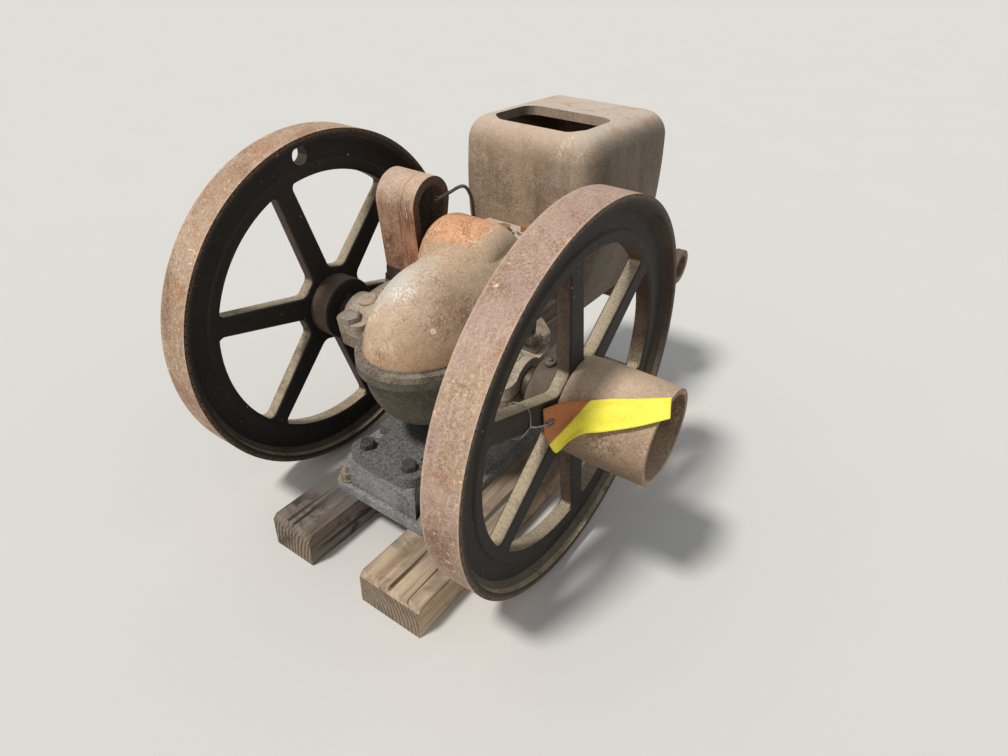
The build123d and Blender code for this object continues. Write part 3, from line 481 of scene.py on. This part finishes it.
def card(name):
    """Hang tag: one card painted as sunlit yellow, with the flywheel rim's painted shadow in orange over the
    eyelet's end.
    """
    g = Surface(name)
    x, _, z = g.from_crank()
    fine = g.noise(420.0, 4, 0.6)
    # Edge of the painted shadow of the flywheel rim across the card
    shadow_edge = x - (z + 0.012) * 0.52 + (g.noise(30.0, 2) - 0.5) * 0.004
    yellow = g.mix(tint(250, 232, 58), tuple(looks().tag_sunlit_yellow), fine.above(0.36, 0.6))
    orange = g.mix(tint(168, 100, 52), tuple(looks().tag_shadow_orange), fine.above(0.36, 0.6))
    colour = g.mix(orange, yellow, shadow_edge.above(0.204, 0.2065))
    colour = g.mix(colour, tint(120, 78, 40), g.noise(180.0, 4, 0.7).above(0.66, 0.72) * 0.35)
    return g.finish(colour, 0.55 + fine * 0.15, fine, 0.00008)


def rubbery(name, dark, pale):
    """Stiff insulated lead: grey, cracked and dusty."""
    g = Surface(name)
    fine = g.noise(500.0, 4, 0.65)
    crack = g.cells(420.0, feature="DISTANCE_TO_EDGE").below(0.02, 0.07)
    colour = g.mix(dark, pale, fine.above(0.42, 0.62) * 0.8)
    colour = g.mix(colour, tint(20, 19, 18), crack * 0.7)
    return g.finish(colour, 0.62 + fine * 0.2, fine - crack * 0.5, 0.0002)


def dress(finish, *names):
    """Give a finish to nodes of the model."""
    for name in names:
        mesh = nodes[name].data
        mesh.materials.clear()
        mesh.materials.append(finish)


# Making pieces

def placed(name, data):
    """New object in the scene for a mesh, curve, light or camera."""
    made = bpy.data.objects.new(name, data)
    bpy.context.scene.collection.objects.link(made)
    return made


def piece(name, mesh, finish, body, smooth=True):
    """New object for a finished mesh, riding on one of the model's bodies."""
    made = placed(name, mesh)
    mesh.materials.clear()
    mesh.materials.append(finish)
    for face in mesh.polygons:
        face.use_smooth = smooth
    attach(made, body)


def baked(source):
    """Plain mesh of an object with its modifiers, which is then removed."""
    bpy.context.view_layer.update()
    graph = bpy.context.evaluated_depsgraph_get()
    mesh = bpy.data.meshes.new_from_object(source.evaluated_get(graph))
    bpy.data.objects.remove(source)
    return mesh


def ended(name, shape):
    """Mesh of a finished bmesh, which is then freed."""
    mesh = bpy.data.meshes.new(name)
    shape.to_mesh(mesh)
    shape.free()
    return mesh


def skin(name, rows, closed=False):
    """Mesh of four-sided faces between rows of points; closed joins it up both ways."""
    shape = bmesh.new()
    grid = [[shape.verts.new(point) for point in row] for row in rows]
    if closed:
        grid = [row + row[:1] for row in grid]
        grid.append(grid[0])
    for row, following in zip(grid, grid[1:]):
        for k in range(len(row) - 1):
            shape.faces.new((row[k], row[k + 1], following[k + 1], following[k]))
    bmesh.ops.recalc_face_normals(shape, faces=shape.faces)
    return ended(name, shape)


def lying(place, way):
    """Matrix that lays a flat shape at a place, looking the given way."""
    return Matrix.Translation(place) @ way.to_track_quat("Z", "X").to_matrix().to_4x4()


def route(name, points, thickness=0.0):
    """Smooth curve through space near the given points; thickness is its radius."""
    curve = bpy.data.curves.new(name, "CURVE")
    curve.dimensions = "3D"
    curve.bevel_depth = thickness
    curve.bevel_resolution = 3
    curve.use_fill_caps = True
    curve.resolution_u = 10
    line = curve.splines.new("NURBS")
    line.points.add(len(points) - 1)
    for knot, place in zip(line.points, points):
        knot.co = (*place, 1.0)
    line.order_u = 3
    line.use_endpoint_u = True
    return placed(name, curve)


def along(points, share):
    """Place on the smooth line through the points, share running from 0 to 1."""
    spans = len(points) - 1
    index = min(int(share * spans), spans - 1)
    t = share * spans - index
    a, b = points[max(index - 1, 0)], points[index]
    c, d = points[index + 1], points[min(index + 2, spans)]
    square, cube = 2 * a - 5 * b + 4 * c - d, 3 * b - a - 3 * c + d
    return 0.5 * (2 * b + (c - a) * t + square * t * t + cube * t ** 3)


class Tree:
    """Geometry node tree with named inputs."""

    def __init__(self, name, inputs):
        self.tree = bpy.data.node_groups.new(name, "GeometryNodeTree")
        sockets = self.tree.interface
        sockets.new_socket("Geometry", in_out="INPUT", socket_type="NodeSocketGeometry")
        self.keys = {}
        for label, kind in inputs.items():
            made = sockets.new_socket(label, in_out="INPUT", socket_type="NodeSocket" + kind)
            self.keys[label] = made.identifier
        sockets.new_socket("Geometry", in_out="OUTPUT", socket_type="NodeSocketGeometry")
        self.enter = self.tree.nodes.new("NodeGroupInput")
        self.leave = self.tree.nodes.new("NodeGroupOutput")

    def node(self, kind, settings=None, values=None, output=0):
        """Add a node and give one of its outputs."""
        made = self.tree.nodes.new(kind)
        for key, value in (settings or {}).items():
            setattr(made, key, value)
        for key, value in (values or {}).items():
            for item in value if isinstance(value, list) else [value]:
                if isinstance(item, bpy.types.NodeSocket):
                    self.tree.links.new(item, made.inputs[key])
                else:
                    made.inputs[key].default_value = item
        return made.outputs[output]

    def given(self, label):
        """One of the tree's named inputs."""
        return self.enter.outputs[label]

    def close(self, geometry, finish):
        """Realize, give the finish and end the tree."""
        whole = self.node("GeometryNodeRealizeInstances", {}, {0: geometry})
        done = self.node("GeometryNodeSetMaterial", {}, {0: whole})
        done.node.inputs["Material"].default_value = finish
        self.tree.links.new(done, self.leave.inputs[0])

    def apply(self, source, values):
        """Run the tree on an object with these input values and give the plain mesh."""
        step = source.modifiers.new(self.tree.name, "NODES")
        step.node_group = self.tree
        for label, value in values.items():
            step[self.keys[label]] = value
        return baked(source)


def twisted_pair(finish):
    """Two strands wound round each other along a curve."""
    t = Tree("twisted pair", {"Strand radius": "Float", "Turn per step": "Float"})
    steps = t.node("GeometryNodeResampleCurve", {"mode": "LENGTH"},
                   {"Curve": t.given("Geometry"), "Length": t.given("Strand radius")})
    index = t.node("GeometryNodeInputIndex")
    tilt = t.node("ShaderNodeMath", {"operation": "MULTIPLY"}, {0: index, 1: t.given("Turn per step")})
    wound = t.node("GeometryNodeSetCurveTilt", {}, {"Curve": steps, "Tilt": tilt})
    ring = t.node("GeometryNodeCurvePrimitiveCircle", {},
                  {"Resolution": 8, "Radius": t.given("Strand radius")})
    over = t.node("ShaderNodeCombineXYZ", {}, {"X": t.given("Strand radius")})
    under = t.node("ShaderNodeVectorMath", {"operation": "SCALE"}, {0: over, "Scale": -1.0})
    first = t.node("GeometryNodeTransform", {}, {"Geometry": ring, "Translation": over})
    second = t.node("GeometryNodeTransform", {}, {"Geometry": ring, "Translation": under})
    both = t.node("GeometryNodeJoinGeometry", {}, {0: [first, second]})
    pair = t.node("GeometryNodeCurveToMesh", {}, {"Curve": wound, "Profile Curve": both, "Fill Caps": True})
    t.close(pair, finish)
    return t


def screw_ring(finish):
    """Ring of small hexagon screws standing on a flat face that looks along X."""
    t = Tree("screw ring", {"Count": "Int", "Ring": "Float", "Head": "Float", "Height": "Float",
                            "Place": "Vector"})

    def share(label, factor):
        """A named input times a number."""
        return t.node("ShaderNodeMath", {"operation": "MULTIPLY"}, {0: t.given(label), 1: factor})

    def hexagon(top, depth):
        """Six-sided bar that may narrow to its top."""
        sizes = {"Vertices": 6, "Radius Top": top, "Radius Bottom": t.given("Head"), "Depth": depth}
        return t.node("GeometryNodeMeshCone", {}, sizes)

    circle = t.node("GeometryNodeMeshCircle", {}, {"Vertices": t.given("Count"), "Radius": t.given("Ring")})
    low = share("Height", 0.7)
    lift = t.node("ShaderNodeCombineXYZ", {}, {"Z": low})
    crown = hexagon(share("Head", 0.86), share("Height", 0.3))
    crown = t.node("GeometryNodeTransform", {}, {"Geometry": crown, "Translation": lift})
    head = t.node("GeometryNodeJoinGeometry", {}, {0: [hexagon(t.given("Head"), low), crown]})
    spin = t.node("FunctionNodeRandomValue", {"data_type": "FLOAT"}, {"Min": 0.0, "Max": 6.28, "Seed": 4}, 1)
    about = t.node("ShaderNodeCombineXYZ", {}, {"Z": spin})
    heads = t.node("GeometryNodeInstanceOnPoints", {},
                   {"Points": circle, "Instance": head, "Rotation": about})
    ring = t.node("GeometryNodeTransform", {}, {"Geometry": heads, "Rotation": (0.0, math.pi / 2, 0.0),
                                                "Translation": t.given("Place")})
    t.close(ring, finish)
    return t


# Settings

class EngineLooks(bpy.types.PropertyGroup):
    """Sizes, colours and light that a user may want to change"""
    rust_tint: bpy.props.FloatVectorProperty(
        name="Rust", description="Colour of the rust stains",
        subtype="COLOR", size=4, default=tint(166, 104, 62))
    # Colour of the hang tag where it is painted as sunlit
    tag_sunlit_yellow: bpy.props.FloatVectorProperty(
        name="Tag", description="Colour of the hang tag's long part",
        subtype="COLOR", size=4, default=tint(254, 244, 84))
    # Colour of the painted shadow of the flywheel rim on the tag's eyelet end
    tag_shadow_orange: bpy.props.FloatVectorProperty(
        name="Tag's painted shadow", description="Colour of the hang tag round its eyelet",
        subtype="COLOR", size=4, default=tint(184, 114, 62))
    tag_thickness: bpy.props.FloatProperty(
        name="Tag thickness", description="Thickness of the hang tag's card",
        default=0.0007, min=0.0001, subtype="DISTANCE", unit="LENGTH")
    wire_radius: bpy.props.FloatProperty(
        name="Tag wire", description="Radius of the wire that holds the tag",
        default=0.0006, min=0.0001, subtype="DISTANCE", unit="LENGTH")
    lead_radius: bpy.props.FloatProperty(
        name="Broken lead", description="Radius of the broken lead",
        default=0.0021, min=0.0005, subtype="DISTANCE", unit="LENGTH")
    screw_height: bpy.props.FloatProperty(
        name="Small screws", description="Height of the heads of the small screws",
        default=0.003, min=0.0005, subtype="DISTANCE", unit="LENGTH")
    key_strength: bpy.props.FloatProperty(
        name="Key light", description="Strength of the main light", default=2.5, min=0)
    sky_strength: bpy.props.FloatProperty(
        name="Fill light", description="Strength of the light from all round", default=0.42, min=0)
    floor_tint: bpy.props.FloatVectorProperty(
        name="Floor", description="Colour of the floor",
        subtype="COLOR", size=4, default=tint(214, 212, 208))
    lens: bpy.props.FloatProperty(
        name="Lens", description="Focal length of the camera", default=23.49, unit="CAMERA")


def looks():
    """The scene's settings for the engine."""
    return bpy.context.scene.engine_looks


# Pieces

class ENGINE_OT_wheels(bpy.types.Operator):
    """Finish the flywheels and the pulley"""
    bl_idname = "engine.wheels"
    bl_label = "Flywheels and pulley"

    def execute(self, context):
        # The last two colours of each wheel are painted shade on its faces; the left wheel's are darker
        dress(wheel_iron("rusted wheel left", tint(176, 142, 116), 0.2, tint(12, 10, 8), tint(28, 23, 19)),
              "flywheel_left")
        dress(wheel_iron("rusted wheel right", tint(178, 148, 140), 0.5, tint(14, 11, 8), tint(38, 29, 21)),
              "flywheel_right")
        dress(rusted("worn pulley", tint(112, 86, 66), tint(172, 144, 118), tint(212, 190, 164),
                     tint(132, 90, 62), patch=10.0, stained=0.3, extra=pulley_extra), "belt_pulley")
        return {"FINISHED"}


class ENGINE_OT_castings(bpy.types.Operator):
    """Finish the crankcase, hopper, head and magneto castings"""
    bl_idname = "engine.castings"
    bl_label = "Castings"

    def execute(self, context):
        stain = looks().rust_tint
        dress(rusted("rusted cover", tint(144, 111, 84), tint(200, 169, 140), tint(226, 208, 186), stain,
                     patch=16.0, stained=0.25, extra=dome_extra), "crankcase_cover")
        dress(rusted("oily bowl", tint(66, 62, 52), tint(98, 91, 77), tint(134, 124, 106), tint(88, 70, 52),
                     patch=20.0, stained=0.1, extra=bowl_extra),
              "crankcase", "magneto_bracket", "pushrod_guide")
        dress(rusted("dusty caps", tint(134, 118, 98), tint(180, 164, 144), tint(208, 194, 174),
                     tint(136, 104, 76), patch=26.0, stained=0.1, flecks=0.3),
              "bearing_cap_left", "bearing_cap_right")
        dress(rusted("rusted hopper", tint(126, 105, 84), tint(174, 152, 130), tint(206, 189, 168),
                     tint(170, 126, 86), patch=12.0, stained=0.3, flecks=0.45, extra=hopper_extra),
              "water_hopper")
        dress(rusted("dark iron", tint(44, 36, 30), tint(74, 61, 51), tint(104, 89, 74), tint(104, 72, 48)),
              "cylinder_liner", "gear_case", "rocker_arm", "rod_guide", "rod_foot", "magneto_body",
              "magneto_ends", "flywheel_key")
        dress(rusted("rusted head", tint(92, 74, 58), tint(128, 106, 84), tint(160, 138, 112), stain),
              "cylinder_head", "exhaust_stub", "fuel_mixer")
        dress(rusted("brown magnet", tint(118, 80, 60), tint(180, 137, 109), tint(214, 182, 154),
                     tint(178, 116, 78), patch=22.0, stained=0.3, flecks=0.7, extra=magnet_extra),
              "magnet_outer")
        dress(rusted("orange magnet", tint(120, 78, 56), tint(186, 136, 106), tint(216, 174, 142),
                     tint(196, 120, 74), patch=22.0, stained=0.45, flecks=0.4, extra=magnet_extra),
              "magnet_inner")
        dress(oily("oily base", tint(92, 92, 91), tint(154, 154, 152), tint(212, 210, 204)), "base_casting")
        return {"FINISHED"}


class ENGINE_OT_steel(bpy.types.Operator):
    """Finish the shaft, rods and fasteners"""
    bl_idname = "engine.steel"
    bl_label = "Shaft, rods and bolts"

    def execute(self, context):
        dress(worn_steel("dull bolts", tint(168, 160, 146), tint(126, 106, 84)),
              "bearing_bolts_left", "bearing_bolts_right", "bearing_lock_plate", "head_bolts", "base_studs",
              "pulley_bolts")
        dress(worn_steel("rusty bolts", tint(150, 116, 88), tint(168, 116, 78), 0.7, 0.1), "ledge_bolts")
        dress(worn_steel("dark bolts", tint(84, 82, 80), tint(52, 48, 44), 0.5, 0.2), "foot_bolts")
        dress(worn_steel("old shaft", tint(92, 82, 72), tint(66, 50, 40), 0.45, 0.6),
              "crankshaft", "pushrod", "governor_rod", "detent_rod")
        return {"FINISHED"}


class ENGINE_OT_screws(bpy.types.Operator):
    """Small screws of the gear cover and magneto, and the set screw in the right hub"""
    bl_idname = "engine.screws"
    bl_label = "Small screws"

    def execute(self, context):
        finish = worn_steel("small screws", tint(112, 100, 88), tint(84, 62, 46), 0.6, 0.3)
        sunk = 0.0004
        for name, node, count, ring, head in (
            ("gear_cover_screws", "gear_case", 6, 0.025, 0.0038),
            ("magneto_screws", "magneto_ends", 4, 0.0105, 0.0022),
        ):
            low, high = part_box(node)
            place = (high[0] - sunk, (low[1] + high[1]) / 2, (low[2] + high[2]) / 2)
            mesh = screw_ring(finish).apply(placed(name, bpy.data.meshes.new(name)), {
                "Count": count, "Ring": ring, "Head": head, "Height": looks().screw_height, "Place": place})
            piece(name, mesh, finish, "engine", smooth=False)

        out = around(102)
        radius, length, reach = 0.006, 0.009, 0.0455
        screw = bmesh.new()
        bmesh.ops.create_cone(screw, cap_ends=True, segments=24, radius1=radius, radius2=radius, depth=length,
                              matrix=lying(at(165, 0, 0) + out * reach, out))
        rim = [e for e in screw.edges if all((v.co - crank).dot(out) > reach + length / 3 for v in e.verts)]
        bmesh.ops.bevel(screw, geom=rim, offset=radius / 2, segments=4, affect="EDGES")
        piece("hub_set_screw", ended("hub_set_screw", screw), finish, "crank")
        return {"FINISHED"}


def tag_rows(columns=48, steps=14):
    """Rows of points across the hang tag, each kept clear of the pulley."""
    upper, lower = ([Vector(point) for point in edge] for edge in (TAG_UPPER, TAG_LOWER))
    rows = []
    for i in range(columns + 1):
        top, bottom = along(upper, i / columns), along(lower, i / columns)
        row = []
        for k in range(steps + 1):
            spot = top.lerp(bottom, k / steps)
            reach = math.hypot(spot.y, spot.z)
            least = TAG_CLEAR + TAG_BOW * math.sin(math.pi * k / steps)
            if reach < least:
                spot.y *= least / reach
                spot.z *= least / reach
            row.append(at(*spot))
        rows.append(row)
    return rows


def eyelet_rows(lay, inner=0.0022, outer=0.0058, lift=0.0009, turns=32, rounds=8):
    """Rows of points round a flat ring between two radii."""
    middle, half = (inner + outer) / 2, (outer - inner) / 2
    rows = []
    for i in range(turns):
        a = 2 * math.pi * i / turns
        row = []
        for k in range(rounds):
            b = 2 * math.pi * k / rounds
            reach = middle + half * math.cos(b)
            row.append(lay @ Vector((reach * math.cos(a), reach * math.sin(a), lift * math.sin(b))))
        rows.append(row)
    return rows


def wire_loop():
    """Points of the wire round a spoke of the right wheel, from its knot and back to it."""
    outward = around(161)
    upward = Vector((0, outward.z, -outward.y))
    front, inside, back = 200.2, 190, 178.8

    def by_spoke(x, reach, side):
        """Place by the spoke, from how far out it is and how far it is to one side."""
        return at(x, 0, 0) + (outward * reach + upward * side) / 1000

    knot = by_spoke(front + 0.6, 106.7, -5.6)
    return [knot, by_spoke(front + 0.4, 112, 6), by_spoke(front, 118, 15), by_spoke(inside, 119, 17.5),
            by_spoke(back, 119, 15), by_spoke(back, 121, 0), by_spoke(back, 124, -15),
            by_spoke(inside, 124, -17.5), by_spoke(front, 123, -15), by_spoke(front + 0.4, 114, -10), knot]


class ENGINE_OT_tag(bpy.types.Operator):
    """Blank hang tag on the pulley, with its eyelet and the wire round a spoke"""
    bl_idname = "engine.tag"
    bl_label = "Hang tag"

    def execute(self, context):
        rows = tag_rows()
        flat = placed("hang_tag", skin("hang_tag", rows))
        wall = flat.modifiers.new("thickness", "SOLIDIFY")
        wall.thickness = looks().tag_thickness
        wall.offset = 0
        piece("hang_tag", baked(flat), card("yellow card"), "crank")

        here, beside, onward = rows[3][6], rows[3][7], rows[4][6]
        hole = (here + onward) / 2
        facing = (onward - here).cross(beside - here).normalized()
        if facing.y > 0:
            facing = -facing
        metal = worn_steel("dull eyelet", tint(112, 104, 112), tint(70, 58, 60), 0.45, 0.5)
        ring = skin("tag_eyelet", eyelet_rows(lying(hole + facing * 0.0006, facing)), closed=True)
        piece("tag_eyelet", ring, metal, "crank")

        wire = worn_steel("tag wire", tint(176, 172, 168), tint(120, 108, 96), 0.4, 0.6)
        radius = looks().wire_radius
        loop = wire_loop()
        piece("tag_wire_loop", baked(route("tag_wire_loop", loop, radius)), wire, "crank")
        knot = loop[0]
        sag = (knot + hole) / 2 + Vector((0.0, -0.002, -0.003))
        twist = twisted_pair(wire).apply(route("tag_wire_twist", [knot, sag, hole + facing * 0.001]),
                                         {"Strand radius": radius, "Turn per step": 0.55})
        piece("tag_wire_twist", twist, wire, "crank")
        return {"FINISHED"}


class ENGINE_OT_lead(bpy.types.Operator):
    """Broken stiff lead behind the crankcase cover and thin wires by the magneto"""
    bl_idname = "engine.lead"
    bl_label = "Broken lead"

    def execute(self, context):
        sleeve = rubbery("cracked lead", tint(52, 51, 50), tint(118, 116, 112))
        lead = route("broken_lead", [at(*point) for point in LEAD], looks().lead_radius)
        piece("broken_lead", baked(lead), sleeve, "engine")
        wire = worn_steel("old wire", tint(112, 108, 104), tint(70, 62, 56), 0.6, 0.2)
        for number, (side, rise) in enumerate(((-1.5, 4), (1.2, 6), (0.3, -3)), 1):
            frayed = [at(-60, 84.4, 152), at(-65 - side, 83 + side, 148.5 + rise / 4),
                      at(-69 - side * 2, 82 + side * 3, 145 + rise)]
            piece(f"frayed_strand_{number}", baked(route("strand", frayed, 0.0004)), wire, "engine")
        stand = route("magneto_wire", [at(*point) for point in MAGNETO_WIRE], 0.0009)
        piece("magneto_wire", baked(stand), wire, "engine")
        return {"FINISHED"}


class ENGINE_OT_skids(bpy.types.Operator):
    """Finish the two timber skids"""
    bl_idname = "engine.skids"
    bl_label = "Skids"

    def execute(self, context):
        dress(timber("dark timber", tint(132, 122, 112), tint(84, 68, 54), tint(56, 45, 36), 0.9),
              "skid_left")
        dress(timber("pale timber", tint(206, 184, 156), tint(150, 122, 94), tint(84, 72, 60), 0.5),
              "skid_right")
        return {"FINISHED"}


def pale_room():
    """World with even light on the engine, which cameras and mirrors see in the floor's colour."""
    g = Graph(bpy.data.worlds.new("pale room"))
    sky = {"Color": (0.92, 0.96, 1.0, 1.0), "Strength": looks().sky_strength}
    light = g.node("ShaderNodeBackground", {}, sky)
    seen = g.node("ShaderNodeBackground", {}, {"Color": tuple(looks().floor_tint)})
    camera, glossy, transmission = (
        g.node("ShaderNodeLightPath", {}, {}, ray)
        for ray in ("Is Camera Ray", "Is Glossy Ray", "Is Transmission Ray"))
    settings = {"operation": "ADD", "use_clamp": True}
    plain = g.node("ShaderNodeMath", settings, {0: camera, 1: glossy + transmission})
    either = g.node("ShaderNodeMixShader", {}, {0: plain, 1: light, 2: seen})
    g.node("ShaderNodeOutputWorld", {}, {"Surface": either})
    return g.owner


def plain_floor():
    """Matt floor with a trace of unevenness."""
    g = Surface("plain floor")
    base = tuple(looks().floor_tint)
    paler = tuple(min(1.0, level * 1.03) for level in base[:3]) + (1.0,)
    return g.finish(g.mix(base, paler, g.noise(3.0, 2)), 0.9, g.noise(300.0, 2), 0.0001)


def camera_turn(azimuth, elevation, roll):
    """Turn of a camera that looks at the engine from the front, from its three angles in degrees."""
    azimuth, elevation, roll = (math.radians(angle) for angle in (azimuth, elevation, roll))
    flat = math.cos(elevation)
    backward = Vector((math.sin(azimuth) * flat, -math.cos(azimuth) * flat, math.sin(elevation)))
    right = (-backward).cross(Vector((0, 0, 1))).normalized()
    up = right.cross(-backward)
    leaning_right = math.cos(roll) * right + math.sin(roll) * up
    leaning_up = math.cos(roll) * up - math.sin(roll) * right
    return Matrix((leaning_right, leaning_up, backward)).transposed().to_4x4()


class ENGINE_OT_stage(bpy.types.Operator):
    """Lay the floor and set the light and the camera"""
    bl_idname = "engine.stage"
    bl_label = "Floor, light and camera"

    def execute(self, context):
        scene = context.scene
        scene.view_settings.view_transform = "Standard"
        bpy.ops.mesh.primitive_plane_add(size=60, location=(0, 0, 0))
        floor = context.object
        floor.name = "floor"
        floor.data.materials.append(plain_floor())

        scene.world = pale_room()
        lamp = bpy.data.lights.new("key", "SUN")
        lamp.energy = looks().key_strength
        lamp.angle = math.radians(9)
        lamp.color = (1.0, 0.97, 0.92)
        placed("key", lamp).rotation_euler = Vector((-0.18, -0.46, 0.87)).to_track_quat("Z", "Y").to_euler()

        camera = placed("camera", bpy.data.cameras.new("camera"))
        camera.data.sensor_width = 36
        camera.data.lens = looks().lens
        camera.data.clip_end = 100
        turn = camera_turn(CAMERA_AZIMUTH, CAMERA_ELEVATION, CAMERA_ROLL)
        camera.matrix_world = Matrix.Translation(at(*CAMERA_PLACE)) @ turn
        scene.camera = camera
        return {"FINISHED"}


class ENGINE_PT_panel(bpy.types.Panel):
    """Buttons for the engine's pieces"""
    bl_label = "Farm engine"
    bl_idname = "ENGINE_PT_panel"
    bl_space_type = "VIEW_3D"
    bl_region_type = "UI"
    bl_category = "Engine"

    def draw(self, context):
        for name in EngineLooks.__annotations__:
            self.layout.prop(context.scene.engine_looks, name)
        for operator in OPERATORS:
            self.layout.operator(operator.bl_idname)


OPERATORS = (ENGINE_OT_wheels, ENGINE_OT_castings, ENGINE_OT_steel, ENGINE_OT_screws, ENGINE_OT_tag,
             ENGINE_OT_lead, ENGINE_OT_skids, ENGINE_OT_stage)
CLASSES = (EngineLooks,) + OPERATORS + (ENGINE_PT_panel,)


def register():
    for each in CLASSES:
        bpy.utils.register_class(each)
    bpy.types.Scene.engine_looks = bpy.props.PointerProperty(type=EngineLooks)


def unregister():
    del bpy.types.Scene.engine_looks
    for each in reversed(CLASSES):
        bpy.utils.unregister_class(each)


def main():
    register()
    bpy.ops.engine.wheels()
    bpy.ops.engine.castings()
    bpy.ops.engine.steel()
    bpy.ops.engine.screws()
    bpy.ops.engine.tag()
    bpy.ops.engine.lead()
    bpy.ops.engine.skids()
    bpy.ops.engine.stage()


if __name__ == "__main__":
    main()
